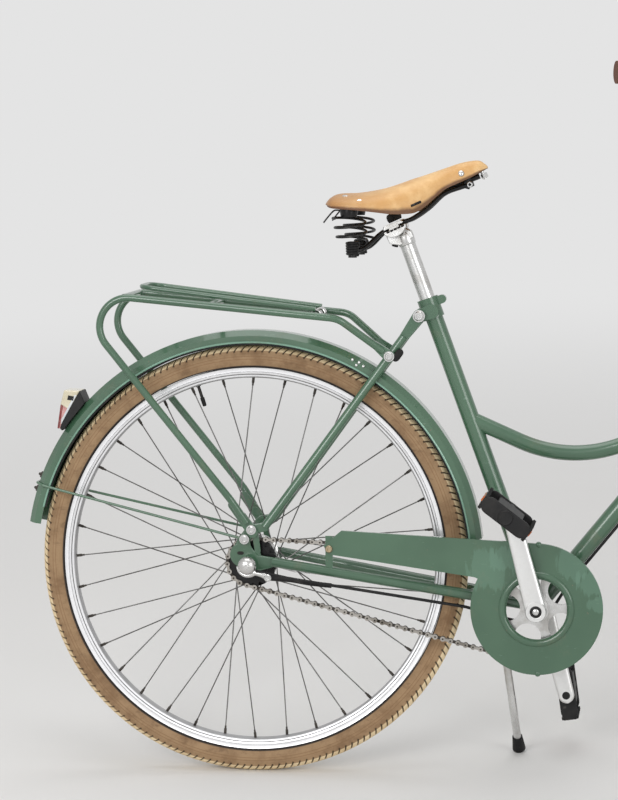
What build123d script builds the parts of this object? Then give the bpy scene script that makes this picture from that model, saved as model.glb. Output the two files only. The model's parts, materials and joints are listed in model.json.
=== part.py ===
from build123d import *
import os
from math import atan2, cos, degrees, hypot, radians, sin

# Step-through city bicycle, parked on its side stand. Millimetres.
# It is drawn upright with the rear axle as zero, +X forwards and +Y to the rider's left,
# and at the end the whole bicycle is leaned onto its stand.

# Clearances
running_clearance = 0.05
seat_gap = 0.3

# Wheels
rim_outer_radius = 316.5
rim_depth = 17.5
rim_width = 25
rim_corner = 6
tyre_width = 42
tyre_seat = 15.5
spoke_count = 36
spoke_radius = 1.0
spoke_cross_angle = 60
spoke_hole_inset = 3.5
hub_flange = 3
axle_radius = 5
axle_nut_size = 9
axle_nut_height = 8

# Mudguards
mudguard_gap = 25
mudguard_side_gap = 5
mudguard_depth = 20
mudguard_shoulder = 9
mudguard_wall = 1.5
rear_mudguard_angles = (6, 171)
front_mudguard_angles = (50, 205)
mudguard_end_slant = 5
wire_radius = 2.2
wire_bend = 7

# Frame
lean_angle = 7
crank_to_mudguard = 89
front_mudguard_to_crank = 225
bottom_bracket_drop = 69
seat_angle = 70
head_angle = 68.5
fork_rake = 58
seat_tube_length = 531
seat_tube_radius = 14.3
seat_post_radius = 12.7
seat_post_length = 274
seat_post_insertion = 160
down_tube_radius = 14.3
down_tube_rise = 49
top_tube_radius = 12.7
top_tube_bend = 215
top_tube_rear_drop = 209
top_tube_rear_slope = 24
top_tube_front_drop = 44
top_tube_front_slope = 60
head_tube_over_mudguard = 26
head_tube_length = 175
head_tube_radius = 17
headset_cup_height = 11
headset_cup_wall = 3
steerer_radius = 12.7
steerer_above_cup = 25
shell_radius = 20
shell_length = 70
rear_spacing = 120
dropout_thickness = 6
chain_stay_rear_radius = 8
chain_stay_front_radius = 9.2
chain_stay_front_y = 23
seat_stay_radius = 7
lug_wall = 3.2
lug_height = 34
lug_bolt_drop = 22
lug_bolt_behind = 20
lug_bolt_radius = 4
stay_plate = 6
stay_plate_length = 42

# Saddle
clamp_above_post = 12
clamp_radius = 14
rail_radius = 3.5
rail_y = 22
leather_thickness = 6
spring_x = -75
spring_y = 62
spring_radius = 22.5
spring_wire = 3.5
spring_rings = 4
spring_bottom = -28
spring_top = 12
spring_stalk_radius = 9

# Chain drive
chain_line = 46
chain_pitch = 12.7
chain_height = 8.4
chain_plate = 1.2
chain_inner_gap = 4.2
roller_radius = 3.6
sprocket_teeth = 19
chainring_teeth = 44
tooth_height = 4
sprocket_thickness = 3.2
sprocket_disc_radius = 30
crank_length = 170
crank_rest_angle = 14.6
crank_inner = 74
crank_thickness = 13
crank_axle_radius = 8.5
crank_boss_radius = 17
crank_boss_inner = 60
crank_tip_radius = 12

# Pedals
pedal_width = 92
pedal_length = 90
pedal_thickness = 28
pedal_gap = 7
pedal_axle_radius = 6
pedal_barrel_radius = 13
pedal_bar = 5
pedal_end_plate = 5
pedal_tooth_count = 9
pedal_tooth_height = 5

# Chain guard
guard_y = 57
guard_sheet = 2
guard_lip = 5
guard_radius = 107
guard_window = 49
guard_bead_radius = 6.5
guard_bead_rise = 3.5
guard_fillet = 16
guard_strap_width = 12
guard_strap = 2

# Carrier
carrier_y = 78.5
carrier_radius = 6
carrier_bridge_radius = 5
carrier_plate = 5
clip_radius = 4
clip_y = 44
clip_length = 290
clip_bend = 25
spring_coil_radius = 8.5
spring_coil_length = 26

# Side stand
stand_behind_crank = 65
stand_pivot_drop = 23
stand_pivot_y = 30
stand_pin_radius = 5
stand_eye_radius = 11
stand_leg_radius = 6.5
stand_bend = 40
stand_knee_height = 91
stand_knee_y = 62
stand_knee_ahead = 22
stand_foot_radius = 11
stand_foot_neck = 8.5
stand_foot_length = 30

# Fork and handlebar
crown_radius = 8
blade_y = 47
blade_foot_y = 53
blade_radius = 9.5
blade_bend = 80
fork_tip = 5
stem_height = 155
stem_radius = 11
stem_reach = 60
stem_rise = 10
stem_clamp_radius = 17
stem_clamp_half = 22
bar_radius = 11
bar_bend = 60
bar_half_width = 285
bar_sweep = 186
bar_rise = 61.5
grip_radius = 16
grip_length = 120
shifter_length = 34
lever_band = 16
lamp_radius = 42
lamp_depth = 66
lamp_lens = 6
brake_arm_radius = 5
brake_bolt_radius = 7
brake_pad_gap = 3

# Sizes that follow from those above
tyre_radius = rim_outer_radius + tyre_seat + tyre_width / 2
rim_inner_radius = rim_outer_radius - rim_depth
mudguard_radius = tyre_radius + mudguard_gap
mudguard_half = tyre_width / 2 + mudguard_side_gap
mudguard_edge = mudguard_radius - mudguard_depth
bottom_bracket_x = mudguard_radius + crank_to_mudguard
wheelbase = bottom_bracket_x + mudguard_radius + front_mudguard_to_crank
head_tube_bottom = mudguard_radius + head_tube_over_mudguard
head_tube_top = head_tube_bottom + head_tube_length
dropout_inner = (rear_spacing - dropout_thickness) / 2
dropout_outer = (rear_spacing + dropout_thickness) / 2
crank_outer = crank_inner + crank_thickness
pedal_y = crank_outer + pedal_gap

FOOT = (Align.CENTER, Align.CENTER, Align.MIN)
nodes = {}


def rod(start, end, radius, end_radius=None):
    """Round bar between two points, tapered if a second radius is given."""
    start = Vector(start)
    run = Vector(end) - start
    along = Plane(origin=start, z_dir=run)
    if end_radius is None:
        return along * Cylinder(radius, run.length, align=FOOT)
    return along * Cone(radius, end_radius, run.length, align=FOOT)


def bent_tube(points, bends, radius):
    """Round tube of straight runs and tangent bends."""
    path = FilletPolyline(*points, radius=bends)
    return sweep(Plane(origin=path @ 0, z_dir=path % 0) * Circle(radius), path=path)


def slab(outline, y_one, y_two):
    """Plate with an outline in the bicycle's side view, between two widths."""
    low, high = sorted((y_one, y_two))
    return Pos(0, high, 0) * extrude(Plane.XZ * outline, high - low)


def cross_bar(point, y_one, y_two, radius):
    """Round bar across the bicycle at a side view point."""
    return rod(at(point, y_one), at(point, y_two), radius)


def hex_nut(point, y, size, height):
    """Six-sided nut across the bicycle."""
    return slab(Pos(*point) * RegularPolygon(size, 6), y - height / 2, y + height / 2)


def link(*spots):
    """Outline drawn tight round a few circles, each a side view point and a radius."""
    return make_hull([Pos(*point) * Circle(radius).edge() for point, radius in spots])


def both_sides(solid):
    """The solid and its mirror image on the other side of the bicycle."""
    return [solid, mirror(solid, Plane.XZ)]


def largest(shape):
    """The biggest solid that a cut left."""
    return max(shape.solids(), key=lambda s: s.volume)


def keep(name, *solids):
    """Stores one named piece of the bicycle."""
    nodes[name] = Compound(children=[s for solid in solids for s in solid.solids()])


def direction(angle):
    """Unit vector in side view, an angle above straight ahead."""
    return cos(radians(angle)), sin(radians(angle))


def at(point, y=0):
    """Point in space from a side view point."""
    return Vector(point[0], y, point[1])


def between(a, b, share):
    """Side view point part of the way from a to b."""
    return a[0] + (b[0] - a[0]) * share, a[1] + (b[1] - a[1]) * share


def shifted(point, dx, dz):
    """Side view point moved forwards and up."""
    return point[0] + dx, point[1] + dz


def towards(a, b, run):
    """Side view point a run away from a in the direction of b."""
    return between(a, b, run / hypot(b[0] - a[0], b[1] - a[1]))


def around(centre, radius, angle):
    """Side view point at a radius and angle from a centre."""
    c, s = direction(angle)
    return centre[0] + radius * c, centre[1] + radius * s


def along_seat_tube(distance, ahead=0):
    """Side view point up the seat tube from the crank axle."""
    c, s = direction(seat_angle)
    return bottom_bracket_x - distance * c + ahead * s, -bottom_bracket_drop + distance * s + ahead * c


def along_steering(distance, ahead=0):
    """Side view point up the steering axis from the front axle's height along it."""
    c, s = direction(head_angle)
    offset = ahead - fork_rake
    return wheelbase - distance * c + offset * s, distance * s + offset * c


def meet(a, angle_a, b, angle_b):
    """Crossing of two side view lines, each a point and an angle."""
    ca, sa = direction(angle_a)
    cb, sb = direction(angle_b)
    t = ((b[0] - a[0]) * sb - (b[1] - a[1]) * cb) / (ca * sb - sa * cb)
    return a[0] + t * ca, a[1] + t * sa


rear_axle = (0, 0)
crank_centre = (bottom_bracket_x, -bottom_bracket_drop)
front_axle = (wheelbase, 0)

# Frame tubes
head_solid = rod(at(along_steering(head_tube_bottom)), at(along_steering(head_tube_top)), head_tube_radius)
headset_bore = rod(
    at(along_steering(head_tube_bottom - 2 * headset_cup_height)),
    at(along_steering(head_tube_top + 2 * headset_cup_height)),
    steerer_radius + running_clearance,
)
keep("head_tube", head_solid - headset_bore)

cups = []
for foot in (head_tube_bottom - headset_cup_height, head_tube_top):
    foot_point, tip_point = along_steering(foot), along_steering(foot + headset_cup_height)
    cups.append(rod(at(foot_point), at(tip_point), head_tube_radius + headset_cup_wall) - headset_bore)
keep("headset_cups", *cups)

seat_top = along_seat_tube(seat_tube_length)
post_foot = along_seat_tube(seat_tube_length - seat_post_insertion)
post_top = along_seat_tube(seat_tube_length - seat_post_insertion + seat_post_length)
seat_solid = rod(at(crank_centre), at(seat_top), seat_tube_radius)
shell_solid = cross_bar(crank_centre, -shell_length / 2, shell_length / 2, shell_radius)
post_solid = rod(at(post_foot), at(post_top), seat_post_radius)
keep("seat_post", post_solid)
keep("seat_tube", seat_solid - shell_solid - post_solid)

axle_bore = cross_bar(crank_centre, -shell_length, shell_length, crank_axle_radius + running_clearance)
keep("bottom_bracket", shell_solid - axle_bore)

down_top = along_steering(head_tube_bottom + down_tube_rise)
down_solid = rod(at(crank_centre), at(down_top), down_tube_radius)
keep("down_tube", down_solid - shell_solid - head_solid - seat_solid)

top_rear = along_seat_tube(seat_tube_length - top_tube_rear_drop)
top_front = along_steering(head_tube_top - top_tube_front_drop)
top_corner = meet(top_rear, -top_tube_rear_slope, top_front, top_tube_front_slope)
top_solid = bent_tube([at(top_rear), at(top_corner), at(top_front)], top_tube_bend, top_tube_radius)
keep("top_tube", top_solid - seat_solid - head_solid - down_solid)

# Rear dropouts: open axle slot, stay ends, eyes for the mudguard wire and the carrier's leg
wire_eye = (-7.5, 40.2)
carrier_eye = (4, 56)
spare_eye = (-8, 72)
chain_stay_rear = (36, 3)
seat_stay_foot = (25, 60)
eye_radius = 2.6
dropout_outline = link(
    (rear_axle, 17), (wire_eye, 6), (carrier_eye, 8), (chain_stay_rear, 7), (seat_stay_foot, 7)
)
dropout_outline += link((carrier_eye, 8), (spare_eye, 6))
axle_slot = Circle(axle_radius + running_clearance)
axle_slot += Rectangle(2 * rear_spacing, 2 * axle_radius, align=(Align.MAX, Align.CENTER))
for spot in (wire_eye, carrier_eye, spare_eye):
    axle_slot += Pos(*spot) * Circle(eye_radius)
dropout_window = link(((11, 21), 2), ((24, 14), 2), ((18, 40), 2))
dropout = slab(dropout_outline - axle_slot - dropout_window, dropout_inner, dropout_outer)
keep("dropouts", *both_sides(largest(dropout)))

chain_stay = rod(
    at(chain_stay_rear, rear_spacing / 2),
    at(crank_centre, chain_stay_front_y),
    chain_stay_rear_radius,
    chain_stay_front_radius,
)
chain_stay = largest(chain_stay - dropout - shell_solid - seat_solid)
chain_stays = both_sides(chain_stay)
keep("chain_stays", *chain_stays)

# Seat lug with ears, and seat stays whose flat top ends are bolted to the ears
lug_radius = seat_tube_radius + lug_wall
stay_plate_inner = lug_radius + 2
stay_top_y = stay_plate_inner + stay_plate / 2
lug_bolt = along_seat_tube(seat_tube_length - lug_bolt_drop, -lug_bolt_behind)
lug_axis = along_seat_tube(seat_tube_length - lug_bolt_drop)
lug = rod(at(along_seat_tube(seat_tube_length - lug_height)), at(seat_top), lug_radius)
lug += slab(link((lug_bolt, 9), (lug_axis, lug_wall + 9)), -stay_plate_inner, stay_plate_inner)
pinch = along_seat_tube(seat_tube_length - 9, lug_radius + 5)
lug += slab(link((pinch, 7), (along_seat_tube(seat_tube_length - 9), 7)), -7, 7)
bolt_end = stay_plate_inner + stay_plate + 4
lug += cross_bar(lug_bolt, -bolt_end, bolt_end, lug_bolt_radius)
keep("seat_lug", largest(lug - seat_solid))

stay_neck = towards(lug_bolt, seat_stay_foot, stay_plate_length)
neck_y = stay_top_y + stay_plate_length / 12
stay_tip = slab(
    link((lug_bolt, 10.5), (stay_neck, seat_stay_radius)), stay_plate_inner, stay_plate_inner + stay_plate
)
seat_stay = rod(at(seat_stay_foot, rear_spacing / 2), at(stay_neck, neck_y), seat_stay_radius) + stay_tip
seat_stay = seat_stay - cross_bar(lug_bolt, 0, rear_spacing, lug_bolt_radius) - dropout


def on_seat_stay(radius):
    """Share of the way up the seat stay at which it passes a radius about the rear axle, and its point."""
    run = (stay_neck[0] - seat_stay_foot[0], stay_neck[1] - seat_stay_foot[1])
    a = run[0] ** 2 + run[1] ** 2
    b = 2 * (run[0] * seat_stay_foot[0] + run[1] * seat_stay_foot[1])
    c = seat_stay_foot[0] ** 2 + seat_stay_foot[1] ** 2 - radius**2
    share = (-b + (b * b - 4 * a * c) ** 0.5) / (2 * a)
    return share, between(seat_stay_foot, stay_neck, share)


# The bridge between the stays carries the mudguard
bridge_radius = 5
bridge_share, bridge_point = on_seat_stay(mudguard_radius + bridge_radius + seat_gap)
bridge_y = rear_spacing / 2 + (neck_y - rear_spacing / 2) * bridge_share
stay_bridge = cross_bar(bridge_point, -bridge_y, bridge_y, bridge_radius)
keep("seat_stays", largest(seat_stay) + mirror(largest(seat_stay), Plane.XZ) + stay_bridge)

# Saddle: leather shell over a sprung frame, placed from the clamp
clamp_centre = along_seat_tube(seat_tube_length - seat_post_insertion + seat_post_length + clamp_above_post)
saddle_sections = (
    # ahead of the clamp, half width, top height, skirt height
    (-118, 60, 40, 28),
    (-84, 96, 52, 25),
    (-37, 98, 57, 22),
    (13, 66, 73, 19),
    (63, 34, 91, 40),
    (108, 24, 103, 66),
    (141, 16, 100, 84),
)


def saddle_arch(ahead, half_width, top, skirt, inset):
    """Cross section of the saddle, a flat foot under one arc, or of the hollow below the leather."""
    x = clamp_centre[0] + ahead
    foot_height = clamp_centre[1] + skirt - inset
    foot_left = (x, half_width - inset, foot_height)
    foot_right = (x, -half_width + inset, foot_height)
    arch = ThreePointArc(foot_left, (x, 0, clamp_centre[1] + top - inset), foot_right)
    return make_face([arch, Line(foot_right, foot_left)])


def saddle_form(inset):
    """Solid form of the saddle, inset from its outer face."""
    return loft([saddle_arch(*row, inset) for row in saddle_sections])


saddle_outer = saddle_form(0)
keep("saddle_cover", saddle_outer - saddle_form(leather_thickness))
leather_room = saddle_outer - saddle_form(leather_thickness + seat_gap)

coil_step = (spring_top - spring_bottom - 2 * spring_wire) / (spring_rings - 1)
coil = Pos(spring_radius / 2, 0) * Rectangle(spring_radius, spring_wire, align=(Align.CENTER, Align.MIN))
coil += Pos(spring_radius / 2, spring_top - spring_bottom - spring_wire) * Rectangle(
    spring_radius, spring_wire, align=(Align.CENTER, Align.MIN)
)
coil += Pos(spring_radius, 0) * Rectangle(
    spring_wire / 2, spring_top - spring_bottom, align=(Align.CENTER, Align.MIN)
)
for ring in range(spring_rings):
    coil += Pos(spring_radius, spring_wire + ring * coil_step) * Circle(spring_wire)
coil = revolve(Plane.XZ * (coil & Rectangle(99, 999, align=(Align.MIN, Align.CENTER))), Axis.Z)
coil += Pos(0, 0, spring_top - spring_bottom - spring_wire) * Cylinder(spring_stalk_radius, 45, align=FOOT)

rail_end = (112, 58)
rail_points = (
    # ahead of the clamp, height over it, distance from the middle
    (spring_x, spring_bottom + spring_wire / 2, spring_y),
    (-30, -13, rail_y),
    (40, 17, rail_y),
    (*rail_end, 9),
)
rail = bent_tube([at(shifted(clamp_centre, x, z), y) for x, z, y in rail_points], [30, 60], rail_radius)
spring_foot = shifted(clamp_centre, spring_x, spring_bottom)
half_frame = Pos(spring_foot[0], spring_y, spring_foot[1]) * coil + rail
nose_block = Pos(clamp_centre[0] + rail_end[0], 0, clamp_centre[1] + rail_end[1]) * Box(30, 30, 70)
nose_block &= saddle_form(leather_thickness + seat_gap)
saddle_frame = half_frame + mirror(half_frame, Plane.XZ) + nose_block - leather_room
keep("saddle_frame", largest(saddle_frame))

clamp = cross_bar(clamp_centre, -rail_y - 8, rail_y + 8, clamp_radius)
keep("saddle_clamp", clamp - post_solid - saddle_frame)

# Wheels
tyre_section = tyre_width / 2
tyre_profile = Pos(0, tyre_radius - tyre_section) * Circle(tyre_section)
below_rim = Rectangle(2 * tyre_width, tyre_width, align=(Align.CENTER, Align.MAX))
tyre_profile -= Pos(0, rim_outer_radius) * below_rim
rim_profile = Pos(0, rim_inner_radius) * Rectangle(rim_width, rim_depth, align=(Align.CENTER, Align.MIN))
rim_profile = fillet(rim_profile.vertices().sort_by(Axis.Y)[:2], rim_corner)


def turned(profile, centre):
    """Ring from a profile of (across, radius), about an axle at a side view point."""
    return Pos(centre[0], 0, centre[1]) * revolve(Plane.YZ * profile, Axis.Y)


def make_wheel(prefix, centre, barrel_radius, flange_radius, flange_y, hub_ends):
    """Tyre, rim, hub and crossed spokes of one wheel."""
    keep(prefix + "_tyre", turned(tyre_profile, centre))
    keep(prefix + "_rim", turned(rim_profile, centre))
    hub = cross_bar(centre, *hub_ends, barrel_radius)
    for side in (1, -1):
        flange_middle = side * flange_y
        hub += cross_bar(centre, flange_middle - hub_flange / 2, flange_middle + hub_flange / 2, flange_radius)
    bore_ends = (hub_ends[0] - axle_radius, hub_ends[1] + axle_radius)
    keep(prefix + "_hub", hub - cross_bar(centre, *bore_ends, axle_radius + running_clearance))
    spokes = []
    for i in range(spoke_count):
        side = 1 if i % 2 == 0 else -1
        outside = (i // 2) % 2 == 0
        rim_angle = 360 / spoke_count * i
        hub_angle = rim_angle + (spoke_cross_angle if outside else -spoke_cross_angle)
        stand_off = hub_flange / 2 + spoke_radius + seat_gap
        hub_y = side * (flange_y + 2 * stand_off) if outside else side * (flange_y - stand_off)
        start = around(centre, flange_radius - spoke_hole_inset, hub_angle)
        end = around(centre, rim_inner_radius - seat_gap, rim_angle)
        spokes.append(rod(at(start, hub_y), at(end, side * rim_width / 8), spoke_radius))
    keep(prefix + "_spokes", *spokes)


rear_hub_ends = (-42, 50)
make_wheel("rear", rear_axle, 27, 37, 29, rear_hub_ends)
make_wheel("front", front_axle, 13, 21, 32, (-42, 42))

rear_axle_half = dropout_outer + axle_nut_height + 13
rear_axle_solid = cross_bar(rear_axle, -rear_axle_half, rear_axle_half, axle_radius)
for y in (-dropout_outer - axle_nut_height / 2, dropout_outer + axle_nut_height / 2):
    rear_axle_solid += hex_nut(rear_axle, y, axle_nut_size, axle_nut_height)
keep("rear_axle", rear_axle_solid)

# Chain drive
sprocket_pitch_radius = chain_pitch / 2 / sin(radians(180 / sprocket_teeth))
chainring_pitch_radius = chain_pitch / 2 / sin(radians(180 / chainring_teeth))


def toothed_disc(teeth, pitch_radius):
    """Disc with one pointed tooth for each chain link."""
    step = 360 / teeth
    root, tip = pitch_radius - tooth_height, pitch_radius + 0.75 * tooth_height
    points = []
    for tooth in range(teeth):
        for share, radius in ((-0.42, root), (-0.1, tip), (0.1, tip), (0.42, root)):
            points.append(around((0, 0), radius, step * (tooth + share)))
    return Polygon(*points, align=None)


disc_low, disc_high = -chain_line - sprocket_thickness / 2, -chain_line + sprocket_thickness / 2
sprocket = slab(toothed_disc(sprocket_teeth, sprocket_pitch_radius), disc_low, disc_high)
sprocket += cross_bar(rear_axle, -chain_line - 3, rear_hub_ends[0], sprocket_disc_radius)
sprocket -= cross_bar(rear_axle, -2 * chain_line, 0, axle_radius + running_clearance)
keep("rear_sprocket", sprocket)


def chain_loop(offset):
    """Outline that wraps sprocket and chainring at an offset from the pitch line."""
    return link((rear_axle, sprocket_pitch_radius + offset), (crank_centre, chainring_pitch_radius + offset))


chain_band = chain_loop(chain_height / 2) - chain_loop(-chain_height / 2)
plate_inner = chain_inner_gap / 2
chain = slab(chain_band, -chain_line + plate_inner, -chain_line + plate_inner + chain_plate)
chain += slab(chain_band, -chain_line - plate_inner - chain_plate, -chain_line - plate_inner)
centre_distance = hypot(*crank_centre)
centre_slope = degrees(atan2(crank_centre[1], crank_centre[0]))
wrap_angle = degrees(atan2(chainring_pitch_radius - sprocket_pitch_radius, centre_distance))
run_length = (centre_distance**2 - (chainring_pitch_radius - sprocket_pitch_radius) ** 2) ** 0.5
# Rollers fill the straight runs, clear of the teeth at both ends
first_roller = 27
last_roller = run_length - 42
for side in (1, -1):
    slope = centre_slope + side * wrap_angle
    tangent = around(rear_axle, sprocket_pitch_radius, slope + side * 90)
    for k in range(int((last_roller - first_roller) / chain_pitch) + 1):
        spot = around(tangent, first_roller + k * chain_pitch, slope)
        pin = Pos(*spot) * RegularPolygon(roller_radius, 6, rotation=slope)
        chain += slab(pin, -chain_line - plate_inner, -chain_line + plate_inner)
keep("chain", chain)

spider_arms = 5
spider_window = 22
spider_ring = 0.8 * chainring_pitch_radius
ring = toothed_disc(chainring_teeth, chainring_pitch_radius)
for arm in range(spider_arms):
    window_angle = 360 / spider_arms * (arm + 0.5)
    ring -= Pos(*around((0, 0), spider_ring - spider_window, window_angle)) * Circle(spider_window)
ring -= Circle(crank_axle_radius)
chainring = Pos(crank_centre[0], 0, crank_centre[1]) * slab(ring, disc_low, disc_high)
chainring += cross_bar(crank_centre, -crank_boss_inner, -chain_line, crank_boss_radius + 3)
chainring -= cross_bar(crank_centre, -2 * crank_boss_inner, 0, crank_axle_radius)
keep("chainring", chainring)
keep("crank_axle", cross_bar(crank_centre, -crank_boss_inner, crank_boss_inner, crank_axle_radius))


def pedal_body(side):
    """Pedal on the axle line: barrel, two end plates and two toothed bars."""
    near, far = side * pedal_y, side * (pedal_y + pedal_width)
    body = cross_bar((0, 0), near, far, pedal_barrel_radius)
    half_length = pedal_length / 2 - pedal_bar
    half_height = pedal_thickness / 2
    end_outline = link(((-half_length, 0), pedal_bar), ((0, 0), pedal_barrel_radius), ((half_length, 0), pedal_bar))
    for y in (near, far - side * pedal_end_plate):
        body += slab(end_outline, y, y + side * pedal_end_plate)
    step = pedal_width / (2 * pedal_tooth_count)
    crest = [
        (near + side * step * k, half_height - (0 if k % 2 else pedal_tooth_height))
        for k in range(2 * pedal_tooth_count + 1)
    ]
    trough = [(y, -height) for y, height in reversed(crest)]
    bar = extrude(Plane.YZ * Polygon(*crest, *trough, align=None), pedal_bar / 2, both=True)
    for x in (-half_length - pedal_bar / 2, half_length + pedal_bar / 2):
        body += Pos(x, 0, 0) * bar
    return body - cross_bar((0, 0), 0, far - side * pedal_end_plate, pedal_axle_radius + running_clearance)


pedal_axles = []
for name, side, angle, tilt in (
    ("right", -1, 90 + crank_rest_angle, -37),
    ("left", 1, 270 + crank_rest_angle, -82),
):
    tip = around(crank_centre, crank_length, angle)
    arm = link((crank_centre, crank_boss_radius), (tip, crank_tip_radius))
    crank = slab(arm, side * crank_inner, side * crank_outer)
    crank += cross_bar(crank_centre, side * crank_boss_inner, side * crank_outer, crank_boss_radius)
    keep(name + "_crank", crank)
    axle_end = pedal_y + pedal_width - pedal_end_plate - seat_gap
    pedal_axles.append(cross_bar(tip, side * crank_outer, side * axle_end, pedal_axle_radius))
    keep(name + "_pedal", Pos(tip[0], 0, tip[1]) * Rot(0, -tilt, 0) * pedal_body(side))
keep("pedal_axles", *pedal_axles)

# Chain guard: a pressed sheet with a folded lip and a beaded round window, on two straps
guard_tail = (121, 30)
guard_low = (130, 16)
guard_high = (150, 55)
guard_top = shifted(crank_centre, 3, 107)
lower_end = shifted(crank_centre, -100, 51)
tail = make_face(Polyline(guard_tail, guard_low, lower_end, crank_centre, guard_top, guard_high, guard_tail))
guard = tail + Pos(*crank_centre) * Circle(guard_radius)
corner = min(guard.vertices(), key=lambda v: hypot(v.X - lower_end[0], v.Y - lower_end[1]))
guard = fillet(corner, guard_fillet)
lip = guard - offset(guard, -guard_sheet)
guard -= Pos(*crank_centre) * Circle(guard_window)
guard_plate = slab(guard, -guard_y - guard_sheet, -guard_y) + slab(lip, -guard_y, -guard_y + guard_lip)
bead_y = -guard_y - guard_sheet - guard_bead_rise + guard_bead_radius
bead_middle = guard_window + guard_bead_radius
bead = Pos(bead_y, bead_middle) * Circle(guard_bead_radius)
bead &= Pos(-guard_y, bead_middle) * Rectangle(guard_y, guard_y, align=(Align.MAX, Align.CENTER))
guard_plate += turned(bead, crank_centre)
rear_strap = slab(
    Pos(*guard_low) * Rectangle(guard_strap_width, 60), -guard_y, -guard_y + guard_strap
)
rear_strap = rear_strap - chain_stays[1]
rear_strap = max(rear_strap.solids(), key=lambda s: s.center().Z)
front_strap_point = along_seat_tube(109)
front_strap = slab(
    Pos(*front_strap_point) * Rectangle(guard_strap_width, guard_strap), -guard_y, 0
) - seat_solid
keep("chain_guard", guard_plate + rear_strap + front_strap)


# Mudguards: angular sheet sections over the wheels, cut off at a slant
def mudguard_section(inset):
    """Closed profile of (across, radius) below the guard's outer or inner face."""
    half, crown = mudguard_half - inset, mudguard_radius - inset
    shoulder = mudguard_radius - mudguard_shoulder
    flat = half - mudguard_shoulder
    low = mudguard_edge - inset
    return Polygon(
        (-half, low), (half, low), (half, shoulder), (flat, crown), (-flat, crown), (-half, shoulder), align=None
    )


def mudguard(centre, front_angle, rear_angle):
    """Curved shell over a wheel, between two angles above straight ahead."""
    profile = mudguard_section(0) - mudguard_section(mudguard_wall)
    start = Rot(0, 90 - rear_angle, 0) * (Plane.YZ * profile)
    shell = revolve(start, Axis.Y, revolution_arc=rear_angle - front_angle)
    slant = Polygon(
        around((0, 0), mudguard_radius, rear_angle),
        around((0, 0), mudguard_edge - mudguard_wall, rear_angle - mudguard_end_slant),
        around((0, 0), mudguard_edge - mudguard_depth, rear_angle - mudguard_end_slant),
        around((0, 0), mudguard_edge - mudguard_depth, rear_angle + mudguard_end_slant),
        around((0, 0), mudguard_radius, rear_angle + mudguard_end_slant),
        align=None,
    )
    return Pos(centre[0], 0, centre[1]) * (shell - slab(slant, -tyre_width, tyre_width))


def mudguard_wire(centre, eye, eye_y, angle):
    """Wire from the outer face of an eye on each side, round the back of the guard in one piece."""
    stand_off = wire_radius + 3 * seat_gap
    corner = 0.4 * stand_off
    side_point = around(centre, mudguard_radius - mudguard_shoulder + corner, angle)
    back_point = around(centre, mudguard_radius + stand_off, angle)
    back_y = mudguard_half - mudguard_shoulder + corner
    half = [at(eye, eye_y + stand_off), at(side_point, mudguard_half + stand_off), at(back_point, back_y)]
    other = [Vector(p.X, -p.Y, p.Z) for p in reversed(half)]
    return bent_tube(half + other, wire_bend, wire_radius)


keep("rear_mudguard", mudguard(rear_axle, *rear_mudguard_angles))
keep("front_mudguard", mudguard(front_axle, *front_mudguard_angles))
rear_wire_angle = 161
keep(
    "rear_mudguard_stays",
    mudguard_wire(rear_axle, wire_eye, dropout_outer, rear_wire_angle),
)

# Carrier: two bent rails with flat bolted ends, bridges and a sprung clip
stay_slope_y = (neck_y - rear_spacing / 2) / (stay_neck[1] - seat_stay_foot[1])
carrier_bolt = between(seat_stay_foot, stay_neck, 0.9)
carrier_bolt_y = rear_spacing / 2 + stay_slope_y * (carrier_bolt[1] - seat_stay_foot[1])
carrier_plate_y = carrier_bolt_y + seat_stay_radius + seat_gap
carrier_front = (148, mudguard_radius + 23)
carrier_rear = (77 - mudguard_radius, mudguard_radius + 66)
carrier_knee = (-28, 106)
carrier_foot_y = dropout_outer + carrier_radius + seat_gap
rail_path = (
    at(towards(carrier_eye, carrier_knee, 14), carrier_foot_y),
    at(carrier_knee, carrier_y),
    at(carrier_rear, carrier_y),
    at(carrier_front, carrier_y),
    at(towards(carrier_bolt, carrier_front, 14), carrier_plate_y + carrier_plate / 2),
)
rail = bent_tube(rail_path, [50, 47, 36], carrier_radius)
foot_neck = towards(carrier_eye, carrier_knee, 26)
rail += slab(
    link((carrier_eye, 8), (foot_neck, carrier_radius)),
    dropout_outer + seat_gap,
    dropout_outer + seat_gap + carrier_plate,
)
front_neck = towards(carrier_bolt, carrier_front, 30)
rail += slab(
    link((carrier_bolt, 9.5), (front_neck, carrier_radius)), carrier_plate_y, carrier_plate_y + carrier_plate
)
rail -= cross_bar(carrier_eye, 0, 2 * carrier_y, eye_radius)
rail -= cross_bar(carrier_bolt, 0, 2 * carrier_y, eye_radius)
rail -= seat_stay
keep("carrier_rails", *both_sides(largest(rail)))

bridges = []
bridge_points = []
for share in (0.22, 0.53, 0.91):
    spot = between(carrier_rear, carrier_front, share)
    bridge_points.append(spot)
    half = carrier_y - carrier_radius + seat_gap
    bridges.append(cross_bar(spot, -half, half, carrier_bridge_radius) - rail - mirror(rail, Plane.XZ))
keep("carrier_bridges", *bridges)

clip_lift = carrier_bridge_radius + clip_radius
clip_front = shifted(bridge_points[2], 0, clip_lift)
clip_reach = towards(clip_front, shifted(bridge_points[0], 0, 2 * clip_lift), clip_length)
clip_path = (
    at(clip_front, clip_y),
    at(clip_reach, clip_y + clip_radius),
    at(clip_reach, -clip_y - clip_radius),
    at(clip_front, -clip_y),
)
keep("carrier_clip", bent_tube(clip_path, clip_bend, clip_radius) - bridges[2])
coils = []
for side in (1, -1):
    inner = side * (clip_y - clip_radius - seat_gap)
    coil_bar = cross_bar(bridge_points[2], inner - side * spring_coil_length, inner, spring_coil_radius)
    coils.append(coil_bar - bridges[2])
keep("carrier_springs", *coils)

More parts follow.
